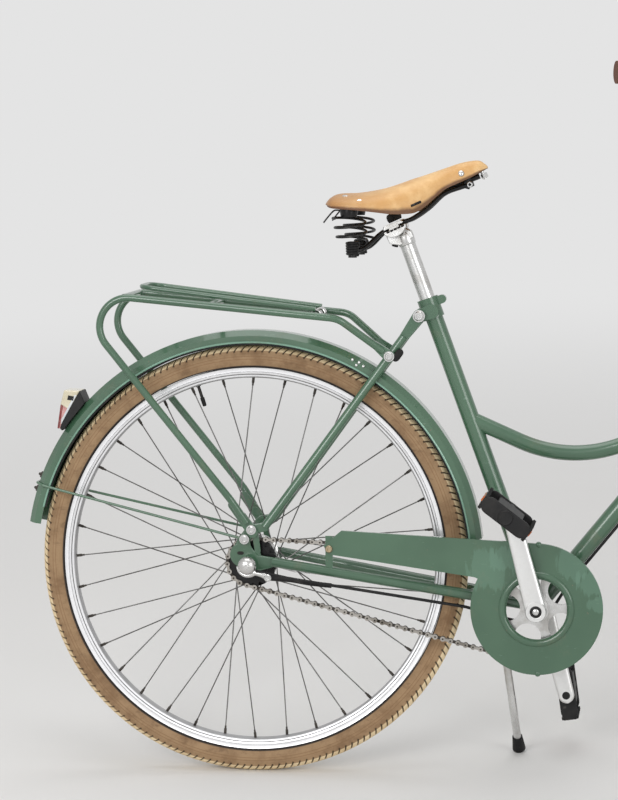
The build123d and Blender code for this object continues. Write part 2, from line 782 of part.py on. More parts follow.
# Tail lamp on the back of the mudguard
lamp_angle = 140.7
lamp_origin = around(rear_axle, mudguard_radius, lamp_angle)
lamp_plane = Plane(
    origin=at(lamp_origin), x_dir=at(direction(lamp_angle + 90)), z_dir=(0, 1, 0)
)
tail_lamp_half = 25
mudguard_room = turned(mudguard_section(0), rear_axle)
tail_lamp_shapes = (
    # name, corners (along the guard, out from it), half width
    ("tail_lamp_housing", ((-33, 19), (31, 8), (37, 5), (37, -9), (-23, -7)), tail_lamp_half),
    ("tail_lamp_red_lens", ((3, 13), (5, 30), (40, 9), (37, 5), (31, 8)), tail_lamp_half - 2),
    ("tail_lamp_clear_lens", ((-33, 19), (-17, 40), (5, 30), (3, 13)), tail_lamp_half - 2),
)
for name, corners, half in tail_lamp_shapes:
    block = extrude(lamp_plane * Polygon(*corners, align=None), half, both=True)
    keep(name, largest(block - mudguard_room))

# Hub gear: silver click box on the axle's end and the cable along the stay and the down tube
click_radius = 15
click_box = cross_bar(rear_axle, -rear_axle_half - 18, -rear_axle_half, click_radius)
click_box = fillet(click_box.edges().group_by(Axis.Y)[0], 7)
keep("gear_click_box", click_box)
cable_radius = 2.5


def below_down_tube(distance):
    """Point on the line that a cable follows under the down tube."""
    slope = degrees(atan2(down_top[1] - crank_centre[1], down_top[0] - crank_centre[0]))
    away = down_tube_radius + cable_radius + seat_gap
    return at(around(around(crank_centre, distance, slope), away, slope - 90))


gear_points = (
    (14, -92, -8),
    (70, -78, -22),
    at(shifted(crank_centre, -117, -1), -35),
    at(shifted(crank_centre, -37, -23), -32),
    at(shifted(crank_centre, 9, -29), -10),
    below_down_tube(55),
    below_down_tube(440),
)
keep("gear_cable", bent_tube(gear_points, [40, 60, 40, 30, 30], cable_radius))

arm_low = rear_hub_ends[1] + seat_gap
arm_knee = ((60, -25), 5)
arm_outline = link((rear_axle, 13), arm_knee) + link(arm_knee, ((150, -33), 5))
arm_outline -= Circle(axle_radius + running_clearance)
keep("coaster_arm", slab(arm_outline, arm_low, arm_low + 3.5))

# Side stand on a bracket between the chain stays
stand_share = 1 - stand_behind_crank / (bottom_bracket_x - chain_stay_rear[0])
stay_point = between(chain_stay_rear, crank_centre, stand_share)
stand_pivot_point = (stay_point[0], -bottom_bracket_drop - stand_pivot_drop)
stand_pivot = at(stand_pivot_point, stand_pivot_y)
bracket_top = stay_point[1] - 4
bracket = Pos(stay_point[0], 0, bracket_top) * Box(44, 62, 8)
lug_height_below = bracket_top - stand_pivot_point[1] + stand_eye_radius
bracket += Pos(stay_point[0], stand_pivot_y - 15, bracket_top) * Box(
    24, 6, lug_height_below, align=(Align.CENTER, Align.CENTER, Align.MAX)
)
bracket += cross_bar(stand_pivot_point, stand_pivot_y - 18, stand_pivot_y + 12, stand_pin_radius)
keep("kickstand_bracket", largest(bracket - chain_stays[0] - chain_stays[1]))

stand_knee = at((stand_pivot_point[0] + stand_knee_ahead, stand_knee_height - tyre_radius), stand_knee_y)
stand_flare = Vector(0.06, 0.63, -0.77).normalized()


def height_over_axle(point):
    """Height of a point of the leaning bicycle over the rear axle."""
    return point.Z * cos(radians(lean_angle)) - point.Y * sin(radians(lean_angle))


# The tyres and the foot's rim touch the floor together
tyre_drop = (tyre_radius - tyre_section) * cos(radians(lean_angle)) + tyre_section
fall = -height_over_axle(stand_flare)
foot_edge = stand_foot_radius * (1 - fall**2) ** 0.5
stand_reach = (height_over_axle(stand_knee) + tyre_drop - foot_edge) / fall
stand_tip = stand_knee + stand_flare * stand_reach
leg = bent_tube((stand_pivot, stand_knee, stand_tip - stand_flare * 4), stand_bend, stand_leg_radius)
leg += cross_bar(stand_pivot_point, stand_pivot_y - 12 + seat_gap, stand_pivot_y + 11, stand_eye_radius)
leg -= cross_bar(stand_pivot_point, 0, 2 * stand_pivot_y, stand_pin_radius + running_clearance)
keep("kickstand_leg", leg)
foot = rod(stand_tip - stand_flare * stand_foot_length, stand_tip, stand_foot_neck, stand_foot_radius)
keep("kickstand_foot", foot - leg)

# Fork: steerer, crown, raked blades and flat tips with an eye for the mudguard's wire
crown_top = head_tube_bottom - headset_cup_height - seat_gap
steerer_top = head_tube_top + headset_cup_height + steerer_above_cup
crown_centre = along_steering(crown_top - crown_radius)
fork = rod(at(crown_centre), at(along_steering(steerer_top)), steerer_radius)
fork += cross_bar(crown_centre, -blade_y, blade_y, crown_radius)
boss_foot = towards(front_axle, crown_centre, mudguard_radius + seat_gap)
fork += rod(at(crown_centre), at(boss_foot), crown_radius)
blade_end = along_steering(26, 0.8 * fork_rake)
front_eye = shifted(front_axle, -14, 4)
tip_outline = link((front_axle, 12), (blade_end, 9)) + link((front_axle, 12), (front_eye, 6))
for side in (1, -1):
    blade_points = (
        at(crown_centre, side * blade_y),
        at(along_steering(110), side * blade_foot_y),
        at(blade_end, side * blade_foot_y),
    )
    fork += bent_tube(blade_points, blade_bend, blade_radius)
    fork += slab(tip_outline, side * blade_foot_y - fork_tip / 2, side * blade_foot_y + fork_tip / 2)
tip_outer = blade_foot_y + fork_tip / 2
fork -= cross_bar(front_axle, -2 * tip_outer, 2 * tip_outer, axle_radius + running_clearance)
fork -= cross_bar(front_eye, -2 * tip_outer, 2 * tip_outer, eye_radius)
keep("fork", fork)

axle_end = tip_outer + axle_nut_height + 4
axle = cross_bar(front_axle, -axle_end, axle_end, axle_radius)
for side in (1, -1):
    axle += hex_nut(front_axle, side * (tip_outer + axle_nut_height / 2), axle_nut_size, axle_nut_height)
keep("front_axle", axle)

front_wire_angle = 192
keep(
    "front_mudguard_stays",
    mudguard_wire(front_axle, front_eye, tip_outer, front_wire_angle),
)

# Front rim brake: bolt through the crown, two arms round the tyre and a pad beside each rim face
brake_ahead = steerer_radius + crown_radius + 4
brake_pivot = along_steering(crown_top - crown_radius, brake_ahead)
pad_reach = rim_outer_radius - rim_depth / 2
pad_point = towards(front_axle, brake_pivot, pad_reach)
pad_face = rim_width / 2 + brake_pad_gap
brake_y = mudguard_half + brake_arm_radius + 2
arm_path = (at(brake_pivot, 0), at(brake_pivot, brake_y), at(pad_point, brake_y))
brake_arm = bent_tube(arm_path, 12, brake_arm_radius)
pad_angle = degrees(atan2(pad_point[1] - front_axle[1], pad_point[0] - front_axle[0]))
pad = Rot(0, 90 - pad_angle, 0) * Box(46, brake_y - pad_face, 10)
brake_arm += Pos(pad_point[0], (brake_y + pad_face) / 2, pad_point[1]) * pad
brake = brake_arm + mirror(brake_arm, Plane.XZ)
bolt_nose = along_steering(crown_top - crown_radius, brake_ahead + 2 * brake_arm_radius)
brake += rod(at(crown_centre), at(bolt_nose), brake_bolt_radius)
keep("front_brake", largest(brake - fork))

# Stem, handlebar, grips, twist shifter and brake lever
stem_top = along_steering(steerer_top + stem_height)
bar_clamp = along_steering(steerer_top + stem_height + stem_rise, stem_reach)
stem = rod(at(along_steering(steerer_top)), at(stem_top), stem_radius)
stem += rod(at(stem_top), at(bar_clamp), stem_radius)
stem += cross_bar(bar_clamp, -stem_clamp_half, stem_clamp_half, stem_clamp_radius)
stem += Pos(*at(stem_top)) * Sphere(stem_radius)
bar_points = (
    at(bar_clamp, 0),
    at(bar_clamp, 70),
    at(shifted(bar_clamp, -11, bar_rise - 3), bar_half_width - 50),
    at(shifted(bar_clamp, -bar_sweep, bar_rise), bar_half_width),
)
bar_half = bent_tube(bar_points, bar_bend, bar_radius)
bar = bar_half + mirror(bar_half, Plane.XZ)
keep("handlebar", bar)
keep("stem", largest(stem - bar))

bar_end = bar_points[3]
bar_run = (bar_points[2] - bar_end).normalized()
grip = rod(bar_end - bar_run * 4, bar_end + bar_run * grip_length, grip_radius) - bar_half
keep("grips", *both_sides(grip))

shifter_start = bar_end + bar_run * (grip_length + seat_gap)
shifter = rod(shifter_start, shifter_start + bar_run * shifter_length, grip_radius + 2) - bar_half
keep("gear_shifter", mirror(shifter, Plane.XZ))

lever_foot = shifter_start + bar_run * (shifter_length + 2)
lever_root = lever_foot + bar_run * lever_band / 2
lever_pivot = lever_root + Vector(0, 0, -grip_radius - 12)
lever = rod(lever_foot, lever_foot + bar_run * lever_band, grip_radius - 1)
lever += rod(lever_root, lever_pivot, 7)
lever += rod(lever_pivot, bar_end + bar_run * 34 + Vector(0, 0, -grip_radius - 34), 4.5)
keep("brake_lever", mirror(largest(lever - bar_half), Plane.XZ))

# Head lamp: turned shell on a bracket from the brake bolt
lamp_back = shifted(brake_pivot, -10, 88)
lamp_shell = revolve(
    Plane.XZ
    * Polygon(
        (0, 0),
        (lamp_depth, 0),
        (lamp_depth, lamp_radius),
        (lamp_depth / 2, lamp_radius - 4),
        (6, lamp_radius / 2),
        align=None,
    ),
    Axis.X,
)
lamp_shell = Pos(lamp_back[0], 0, lamp_back[1]) * lamp_shell
lamp_bracket = bent_tube(
    (at(brake_pivot), at(shifted(brake_pivot, 36, 18)), at(shifted(lamp_back, lamp_depth / 2, 0))), 16, 4
)
keep("head_lamp_shell", largest(lamp_shell + lamp_bracket - brake - fork))
lens_start = shifted(lamp_back, lamp_depth, 0)
keep("head_lamp_lens", rod(at(lens_start), at(shifted(lens_start, lamp_lens, 0)), lamp_radius - 2))

# Lean the bicycle onto its stand, with the middle of its floor plan as zero
lean = Rot(-lean_angle, 0, 0)
bounds = Compound(children=[lean * node for node in nodes.values()]).bounding_box()
centre = bounds.center()
place = Pos(-centre.X, -centre.Y, -bounds.min.Z) * lean

os.makedirs("parts", exist_ok=True)
for name, node in nodes.items():
    export_step(place * node, "parts/" + name + ".step")
print(len(nodes), "pieces,", round(bounds.size.X), round(bounds.size.Y), round(bounds.size.Z))
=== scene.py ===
import json

import bmesh
import bpy
import numpy as np
from mathutils import Matrix


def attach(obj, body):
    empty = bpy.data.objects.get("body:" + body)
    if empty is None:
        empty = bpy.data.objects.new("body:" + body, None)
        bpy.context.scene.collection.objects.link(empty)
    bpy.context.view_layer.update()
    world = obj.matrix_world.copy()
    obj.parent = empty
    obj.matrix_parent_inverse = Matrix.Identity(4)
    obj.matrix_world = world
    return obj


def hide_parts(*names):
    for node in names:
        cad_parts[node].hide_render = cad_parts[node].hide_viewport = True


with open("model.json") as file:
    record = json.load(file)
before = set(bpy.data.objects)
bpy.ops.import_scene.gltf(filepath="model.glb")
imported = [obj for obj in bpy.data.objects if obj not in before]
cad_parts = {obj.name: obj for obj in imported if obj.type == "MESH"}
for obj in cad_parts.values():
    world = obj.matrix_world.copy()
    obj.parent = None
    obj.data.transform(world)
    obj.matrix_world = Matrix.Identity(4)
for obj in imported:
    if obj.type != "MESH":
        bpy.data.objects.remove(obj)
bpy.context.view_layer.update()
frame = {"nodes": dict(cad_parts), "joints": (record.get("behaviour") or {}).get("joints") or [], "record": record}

scene = bpy.context.scene
scene.view_settings.view_transform = "Standard"

# The bicycle's own axes: millimetres from the rear axle, ahead, to the rider's left, and up in its leaning plane
joints = {joint["name"]: joint for joint in frame["joints"]}
rearHub = np.array(joints["rear_wheel_spin"]["pos_m"])
frontHub = np.array(joints["front_wheel_spin"]["pos_m"])
leftward = np.array(joints["rear_wheel_spin"]["axis"])
forward = (frontHub - rearHub) / np.linalg.norm(frontHub - rearHub)
bikeAxes = np.array([forward, leftward, np.cross(forward, leftward)])


def toWorld(points):
    return rearHub + np.asarray(points, float) @ bikeAxes / 1000


def toBike(points):
    return (np.asarray(points, float) - rearHub) @ bikeAxes.T * 1000


def nodePoints(node):
    # a CAD node's points along the bicycle's axes
    return toBike([vertex.co for vertex in frame["nodes"][node].data.vertices])


def span(node):
    points = nodePoints(node)
    return points.min(0), points.max(0)


def wheelRay(turn):
    # a direction in the bicycle's plane, in degrees from straight ahead
    return np.array([np.cos(np.radians(turn)), 0, np.sin(np.radians(turn))])


def arcPath(centre, radius, y, turns):
    # an arc about a wheel's axle
    return np.stack([centre + radius * np.cos(turns), y + 0 * turns, radius * np.sin(turns)], -1)


def sideSpan(side, near, far):
    # lowest and highest place across the bicycle, on one side of it
    return sorted((side * near, side * far))


wheelbase = toBike(frontHub)[0]
crankSpot = toBike(joints["crank_spin"]["pos_m"])
seatTube = np.array([-np.cos(np.radians(70)), 0, np.sin(np.radians(70))])
seatAhead = np.array([np.sin(np.radians(70)), 0, np.cos(np.radians(70))])


def onSeatTube(distance, ahead=0, y=0):
    return crankSpot * [1, 0, 1] + distance * seatTube + ahead * seatAhead + np.array([0, y, 0])


# Shapes


def unit(vectors):
    return vectors / np.linalg.norm(vectors, axis=-1, keepdims=True)


def surface(points, roll=False, turn=False):
    # faces over a grid of points; roll closes the rows on themselves, turn the columns
    rows, columns = points.shape[:2]
    spans = np.array([rows - (not roll), columns - (not turn)])
    i, j = np.meshgrid(np.arange(spans[0]), np.arange(spans[1]), indexing="ij")
    corners = [(i, j), (i + 1, j), (i + 1, j + 1), (i, j + 1)]
    faces = np.stack([a % rows * columns + b % columns for a, b in corners], -1)
    uv = np.stack([np.stack([a, b], -1) / spans for a, b in corners], -2)
    return points.reshape(-1, 3), faces.reshape(-1, 4), uv.reshape(-1, 2)


def circle(radius, sides):
    angle = np.arange(sides) / sides * 2 * np.pi
    return np.stack([np.cos(angle), np.sin(angle)], -1) * radius


def carried(path, section, guide=(0, 1, 0)):
    # a section, or one for each point, carried along a path and square to it, with both ends closed
    path = np.asarray(path, float)
    along = unit(np.gradient(path, axis=0))
    across = unit(np.cross(along, guide))
    rise = np.cross(across, along)
    section = np.broadcast_to(section, (len(path),) + np.shape(section)[-2:])
    points = path[:, None] + section[..., :1] * across[:, None] + section[..., 1:] * rise[:, None]
    ends = points[[0, -1]].mean(1, keepdims=True) + 0 * points[[0, -1]]
    return surface(np.concatenate([ends[:1], points, ends[1:]]), turn=True)


def tube(path, radius, sides=12, guide=(0, 1, 0)):
    return carried(path, circle(1, sides) * np.reshape(radius, (-1, 1, 1)), guide)


def turned(profile, centre, axis=(0, 1, 0), count=48, loop=False):
    # a profile of (along the axis, radius) turned about the axis through the centre
    axis = unit(np.array(axis, float))
    first = unit(np.cross(axis, (0.31, 0.52, 0.8)))
    around = circle(1, count)
    ray = around[:, :1] * first + around[:, 1:] * np.cross(axis, first)
    profile = np.asarray(profile, float)
    points = np.asarray(centre, float) + profile[:, None, :1] * axis + profile[:, None, 1:] * ray
    return surface(points, roll=loop, turn=True)


def spline(knots, count):
    # a smooth line through the knots: each span blends its four neighbours by the Catmull-Rom cubic
    knots = np.asarray(knots, float)
    row = np.vstack([2 * knots[0] - knots[1], knots, 2 * knots[-1] - knots[-2]])
    place = np.linspace(0, len(knots) - 1, count)
    first = np.minimum(place.astype(int), len(knots) - 2)
    t = (place - first)[:, None]
    a, b, c, d = (row[first + k] for k in range(4))
    return b + (c - a) * t / 2 + (a - 2.5 * b + 2 * c - d / 2) * t**2 + (1.5 * (b - c) + (d - a) / 2) * t**3


def helix(centre, axis, start, radius, endRadius, length, turns, steps=28):
    # a line that winds about an axis while it climbs it, its radius easing from one end to the other
    axis, start = np.array(axis, float), np.array(start, float)
    share = np.linspace(0, 1, int(turns * steps))[:, None]
    angle = share * turns * 2 * np.pi
    ray = np.cos(angle) * start + np.sin(angle) * np.cross(axis, start)
    return np.asarray(centre, float) + axis * length * share + ray * (radius + (endRadius - radius) * share)


def bar(start, end, startRadius, endRadius, low, high, sharp=0.32, steps=28):
    # a flat bar with round ends: its half width is that of a row of circles, its section a rounded oblong
    start, end = np.asarray(start, float), np.asarray(end, float)
    length = np.hypot(*(end - start))
    share = np.linspace(0, 1, 60)
    cosine = (1 - np.cos(np.linspace(0, np.pi, steps))) / 2
    u = -startRadius + cosine * (length + startRadius + endRadius)
    radii = startRadius + (endRadius - startRadius) * share
    half = np.sqrt(np.clip(radii**2 - (u[:, None] - share * length) ** 2, 0, None)).max(1)
    ring = circle(1, 28)
    ring = np.sign(ring) * np.abs(ring) ** sharp
    along = (end - start) / length
    flat = start + u[:, None, None] * along
    flat = flat + (half[:, None] * ring[:, 0])[..., None] * np.array([-along[1], along[0]])
    depth = np.broadcast_to((low + high) / 2 + (high - low) / 2 * ring[:, 1], flat.shape[:2])
    return surface(np.stack([flat[..., 0], depth, flat[..., 1]], -1), turn=True)


def prism(outline, low, high):
    # an outline in the side view carried across the bicycle, its ends drawn to their middle
    outline = np.asarray(outline, float)
    rows = np.array([low, low, high, high])
    flat = np.stack([outline.mean(0) + 0 * outline, outline, outline, outline.mean(0) + 0 * outline])
    depth = np.broadcast_to(rows[:, None], flat.shape[:2])
    return surface(np.stack([flat[..., 0], depth, flat[..., 1]], -1), turn=True)


def dome(centre, axis, radius, height):
    # a rivet head: a quarter ellipse turned about its axis, on a short shank
    angle = np.linspace(0, np.pi / 2, 7)
    profile = np.stack([height * np.sin(angle), radius * np.cos(angle)], -1)
    return turned(np.vstack([[-1, 0], [-1, radius], profile]), centre, axis, 20)


def socketBolt(centre, axis, radius, height):
    # a round head with a bevelled rim and a blind socket
    profile = [(-1, 0), (-1, radius), (0.7, radius), (0.8, 0.92), (1, 0.8), (1, 0.5), (0.35, 0.48), (0.35, 0)]
    profile = np.array(profile) * [height, 1]
    profile[3:, 1] *= radius
    return turned(profile, centre, axis, 20)


def hexNut(centre, axis, radius, height):
    # six sides with a chamfered top
    profile = np.array([(-1, 0), (-1, 1), (0.75, 1), (1, 0.84), (1, 0)]) * [height, radius]
    return turned(profile, centre, axis, 6)


def addPiece(name, patches, body, slot, finish, replaced=(), mark=None, sharp=38, bevel=0):
    # one mesh from a list of surfaces, its doubles merged and its faces turned outwards
    counts = np.cumsum([0] + [len(points) for points, faces, uv in patches])
    points = toWorld(np.concatenate([points for points, faces, uv in patches]))
    faces = np.concatenate([faces + base for (points_, faces, uv), base in zip(patches, counts)])
    mesh = bpy.data.meshes.new(name)
    mesh.from_pydata(points.tolist(), [], faces.tolist())
    layer = mesh.uv_layers.new(name="own")
    layer.data.foreach_set("uv", np.concatenate([uv for points_, faces_, uv in patches]).ravel())
    if mark is not None:
        attribute = mesh.attributes.new("mark", "FLOAT", "POINT")
        attribute.data.foreach_set("value", np.asarray(mark, np.float32).ravel())
    shape = bmesh.new()
    shape.from_mesh(mesh)
    bmesh.ops.remove_doubles(shape, verts=shape.verts, dist=2e-6)
    bmesh.ops.recalc_face_normals(shape, faces=shape.faces)
    shape.to_mesh(mesh)
    shape.free()
    mesh.shade_smooth()
    mesh.set_sharp_from_angle(angle=np.radians(sharp))
    mesh.materials.append(finish)
    piece = bpy.data.objects.new(name, mesh)
    scene.collection.objects.link(piece)
    if bevel:
        edge = piece.modifiers.new("edge", "BEVEL")
        edge.width = bevel / 1000
        edge.segments = 3
        edge.limit_method = "ANGLE"
    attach(piece, body)
    if replaced:
        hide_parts(*replaced)
    return piece


# Finishes


class Wire:
    # one shader value: arithmetic on it adds Math nodes, and node() adds any other
    def __init__(self, tree, socket):
        self.tree = tree
        self.socket = socket

    def node(self, kind, settings=None, inputs=None, output=0):
        made = self.tree.nodes.new(kind)
        for key, value in (settings or {}).items():
            setattr(made, key, value)
        for key, value in (inputs or {}).items():
            if isinstance(value, Wire):
                self.tree.links.new(value.socket, made.inputs[key])
            else:
                made.inputs[key].default_value = value
        return Wire(self.tree, made.outputs[output])

    def math(self, operation, first, second):
        return self.node("ShaderNodeMath", {"operation": operation}, {0: first, 1: second})

    def __add__(self, other):
        return self.math("ADD", self, other)

    def __radd__(self, other):
        return self.math("ADD", other, self)

    def __sub__(self, other):
        return self.math("SUBTRACT", self, other)

    def __rsub__(self, other):
        return self.math("SUBTRACT", other, self)

    def __mul__(self, other):
        return self.math("MULTIPLY", self, other)


def tint(red, green, blue):
    # a screen colour as linear light
    share = np.array([red, green, blue]) / 255
    linear = np.where(share > 0.04045, ((share + 0.055) / 1.055) ** 2.4, share / 12.92)
    return (*linear.tolist(), 1.0)


def newFinish(name):
    material = bpy.data.materials.new(name)
    material.use_nodes = True
    tree = material.node_tree
    return material, Wire(tree, tree.nodes.new("ShaderNodeTexCoord").outputs["Object"])


def setFinish(material, values):
    tree = material.node_tree
    shader = tree.nodes["Principled BSDF"]
    for key, value in values.items():
        if isinstance(value, Wire):
            tree.links.new(value.socket, shader.inputs[key])
        else:
            shader.inputs[key].default_value = value
    return material


def noise(place, scale, detail=4, rough=0.55, stretch=None):
    if stretch:
        place = place.node("ShaderNodeMapping", {}, {"Vector": place, "Scale": stretch})
    values = {"Vector": place, "Scale": scale, "Detail": detail, "Roughness": rough}
    return place.node("ShaderNodeTexNoise", {}, values)


def step(value, low, high):
    values = {"Value": value, "From Min": low, "From Max": high}
    return value.node("ShaderNodeMapRange", {"interpolation_type": "SMOOTHSTEP"}, values)


def mix(factor, first, second):
    return factor.node("ShaderNodeMix", {"data_type": "RGBA"}, {0: factor, 6: first, 7: second}, 2)


def bump(height, strength, distance):
    return height.node("ShaderNodeBump", {}, {"Height": height, "Strength": strength, "Distance": distance})


def enamel(name, look):
    # paint with slow changes of tone, road dirt, fine scratches and chips down to the primer
    material, place = newFinish(name)
    tone = step(noise(place, 5, 3), 0.35, 0.65)
    colour = mix(tone, look["dark"], look["light"])
    dirt = step(noise(place, 17, 8, 0.7), 0.55, 0.72) * look["dirt"]
    colour = mix(dirt, colour, tint(104, 106, 84))
    scratch = step(noise(place, 60, 2, 0.5, (1, 1, 14)), 0.71, 0.75) * look["scratch"]
    colour = mix(scratch, colour, tint(150, 176, 160))
    chip = step(noise(place, 150, 5, 0.6), 0.70, 0.73) * look["chips"]
    colour = mix(chip, colour, tint(120, 104, 84))
    for spot, reach in look.get("worn", ()):
        away = place.node("ShaderNodeVectorMath", {"operation": "DISTANCE"}, {0: place, 1: spot}, "Value")
        torn = away + (noise(place, 90, 5, 0.6, (1, 1, 0.1)) - 0.5) * reach * 2
        colour = mix((1 - step(torn, reach * 0.8, reach)) * 0.22, colour, look["under"])
    orange = noise(place, 420, 2)
    relief = orange * 0.05 - chip * 1.5 - scratch
    return setFinish(material, {
        "Base Color": colour,
        "Roughness": 0.26 + dirt * 0.35 + chip * 0.3 + noise(place, 30, 4) * 0.08,
        "Coat Weight": 0.7 - dirt * 0.7,
        "Coat Roughness": 0.05,
        "Normal": bump(relief, 0.12, 0.0004),
    })


def metal(name, bright, dull, rusty, roughness, stretch, relief, grain):
    # bare metal with fine brush marks, dull patches, specks of rust, and painted shade where the mesh is marked
    material, place = newFinish(name)
    patch = step(noise(place, 24, grain, 0.65), 0.4, 0.7)
    colour = mix(patch, tint(*bright), tint(*dull))
    rust = step(noise(place, 120, 7, 0.7), 0.78 - rusty, 0.86 - rusty)
    colour = mix(rust, colour, tint(108, 66, 38))
    markedShade = place.node("ShaderNodeAttribute", {"attribute_name": "mark"}, {}, "Fac")
    # painted shade: darker and duller where the mesh is marked, in the rim's grooves, on its inner face and under
    # the tyre's bead
    colour = mix(markedShade, colour, tint(54, 52, 50))
    brush = noise(place, 90, 3, 0.6, stretch)
    return setFinish(material, {
        "Base Color": colour,
        "Metallic": 1 - rust * 0.8 - markedShade * 0.7,
        "Roughness": roughness + patch * 0.12 + rust * 0.4 + brush * 0.06 + markedShade * 0.3,
        "Normal": bump(brush + rust * 2, relief, 0.0004),
    })


def mould(name, look):
    # plastic or rubber with a fine grain and dust that has settled on it
    material, place = newFinish(name)
    dust = step(noise(place, 28, 8, 0.7), 0.45, 0.75) * look["dust"]
    colour = mix(dust, look["colour"], look["dustColour"])
    scuff = step(noise(place, 70, 3, 0.5, (1, 6, 1)), 0.68, 0.74) * look["scuff"]
    colour = mix(scuff, colour, tint(128, 124, 118))
    grain = noise(place, look["grain"], 3)
    return setFinish(material, {
        "Base Color": colour,
        "Specular IOR Level": 0.32,
        "Roughness": look["roughness"] + dust * 0.25 + scuff * 0.1,
        "Normal": bump(grain + scuff, 0.2, 0.0004),
    })


def leather(name):
    # saddle hide: mottled tan, burnished dark at its edges, with pores, creases and rubbed marks, and painted shade
    # darkening its rear
    material, place = newFinish(name)
    uv = place.node("ShaderNodeUVMap", {"uv_map": "own"})
    edge = uv.node("ShaderNodeSeparateXYZ", {}, {0: uv}, 1)
    fold = edge.math("ABSOLUTE", 0.25 - edge.math("PINGPONG", edge, 0.5), 0)
    burnish = step(fold + (noise(place, 60, 5) - 0.5) * 0.02, 0.196, 0.231)
    mottle = step(noise(place, 22, 7, 0.62), 0.36, 0.66)
    colour = mix(mottle, tint(210, 162, 102), tint(230, 190, 134))
    speck = step(noise(place, 240, 6, 0.7), 0.6, 0.72)
    colour = mix(speck * 0.35, colour, tint(156, 108, 60))
    scuff = step(noise(place, 26, 6, 0.7, (1, 3, 1)), 0.62, 0.72)
    colour = mix(scuff * 0.4, colour, tint(226, 188, 132))
    # painted shade: the saddle's rear rows are darkened toward a deeper brown
    paintedRearShade = 1 - step(uv.node("ShaderNodeSeparateXYZ", {}, {0: uv}, 0), 0.08, 0.4)
    colour = mix(paintedRearShade * 0.9, colour, tint(166, 116, 68))
    colour = mix(burnish * 0.9, colour, tint(84, 46, 20))
    pores = place.node("ShaderNodeTexVoronoi", {}, {"Vector": place, "Scale": 900}, "Distance")
    crease = noise(place, 130, 6, 0.6, (1, 2.2, 1))
    return setFinish(material, {
        "Base Color": colour,
        "Roughness": 0.5 + mottle * 0.1 + speck * 0.1,
        "Coat Weight": 0.06,
        "Normal": bump(pores * 0.5 + crease, 0.16, 0.0005),
    })


def tyreRubber(name):
    # tan side walls with two moulded lines and road dirt, a paler tread, grooves darkened with painted shade, and a
    # painted shadow line at the bead where the tyre meets the rim
    material, place = newFinish(name)
    grooveShade = place.node("ShaderNodeAttribute", {"attribute_name": "mark"}, {}, "Fac")
    uv = place.node("ShaderNodeUVMap", {"uv_map": "own"})
    side = uv.node("ShaderNodeSeparateXYZ", {}, {0: uv}, 1)
    away = side.math("ABSOLUTE", side - 0.5, 0)
    dirt = step(noise(place, 20, 8, 0.7), 0.38, 0.7)
    wall = mix(dirt, tint(157, 128, 95), tint(126, 98, 70))
    tread = mix(dirt, tint(236, 214, 174), tint(214, 188, 146))
    colour = mix(step(away, 0.185, 0.205), tread, wall)
    lines = 0.0
    for middle in (0.298, 0.347):
        lines = 1 - step(away.math("ABSOLUTE", away - middle, 0), 0.004, 0.008) + lines
    colour = mix(lines * 0.55, colour, tint(126, 92, 60))
    smear = step(noise(place, 34, 6, 0.7, (1, 1, 2)), 0.52, 0.7) * step(away, 0.2, 0.42)
    colour = mix(smear * 0.6, colour, tint(104, 78, 54))
    # painted shadow: a dark line at the bead, where the tyre meets the rim
    colour = mix(step(away, 0.462, 0.48), colour, tint(46, 38, 32))
    # painted shade in the sunk grooves of the tread
    colour = mix(grooveShade * 0.92, colour, tint(52, 40, 30))
    fleck = step(noise(place, 260, 5, 0.7), 0.62, 0.7)
    colour = mix(fleck * 0.3, colour, tint(108, 82, 56))
    return setFinish(material, {
        "Base Color": colour,
        "Roughness": 0.74 + dirt * 0.1,
        "Normal": bump(noise(place, 500, 4) + fleck - lines * 2, 0.2, 0.0004),
    })


def lens(name, bright, deep, count):
    # moulded lens with fine upright ribs under its skin
    material, place = newFinish(name)
    ribs = place.node("ShaderNodeTexWave", {"bands_direction": "Y"}, {"Vector": place, "Scale": count})
    haze = step(noise(place, 60, 6, 0.7), 0.45, 0.7)
    colour = mix(ribs * 0.35, tint(*bright), tint(*deep))
    colour = mix(haze * 0.2, colour, tint(196, 186, 170))
    return setFinish(material, {
        "Base Color": colour,
        "Roughness": 0.14 + haze * 0.2,
        "Coat Weight": 0.6,
        "Normal": bump(ribs, 0.25, 0.0006),
    })


def onGuard(x, z, reach):
    # a place on the chain guard's outer face, from the crank's centre
    return tuple(toWorld(crankSpot * [1, 0, 1] + np.array([x, -59, z])).tolist()), reach / 1000


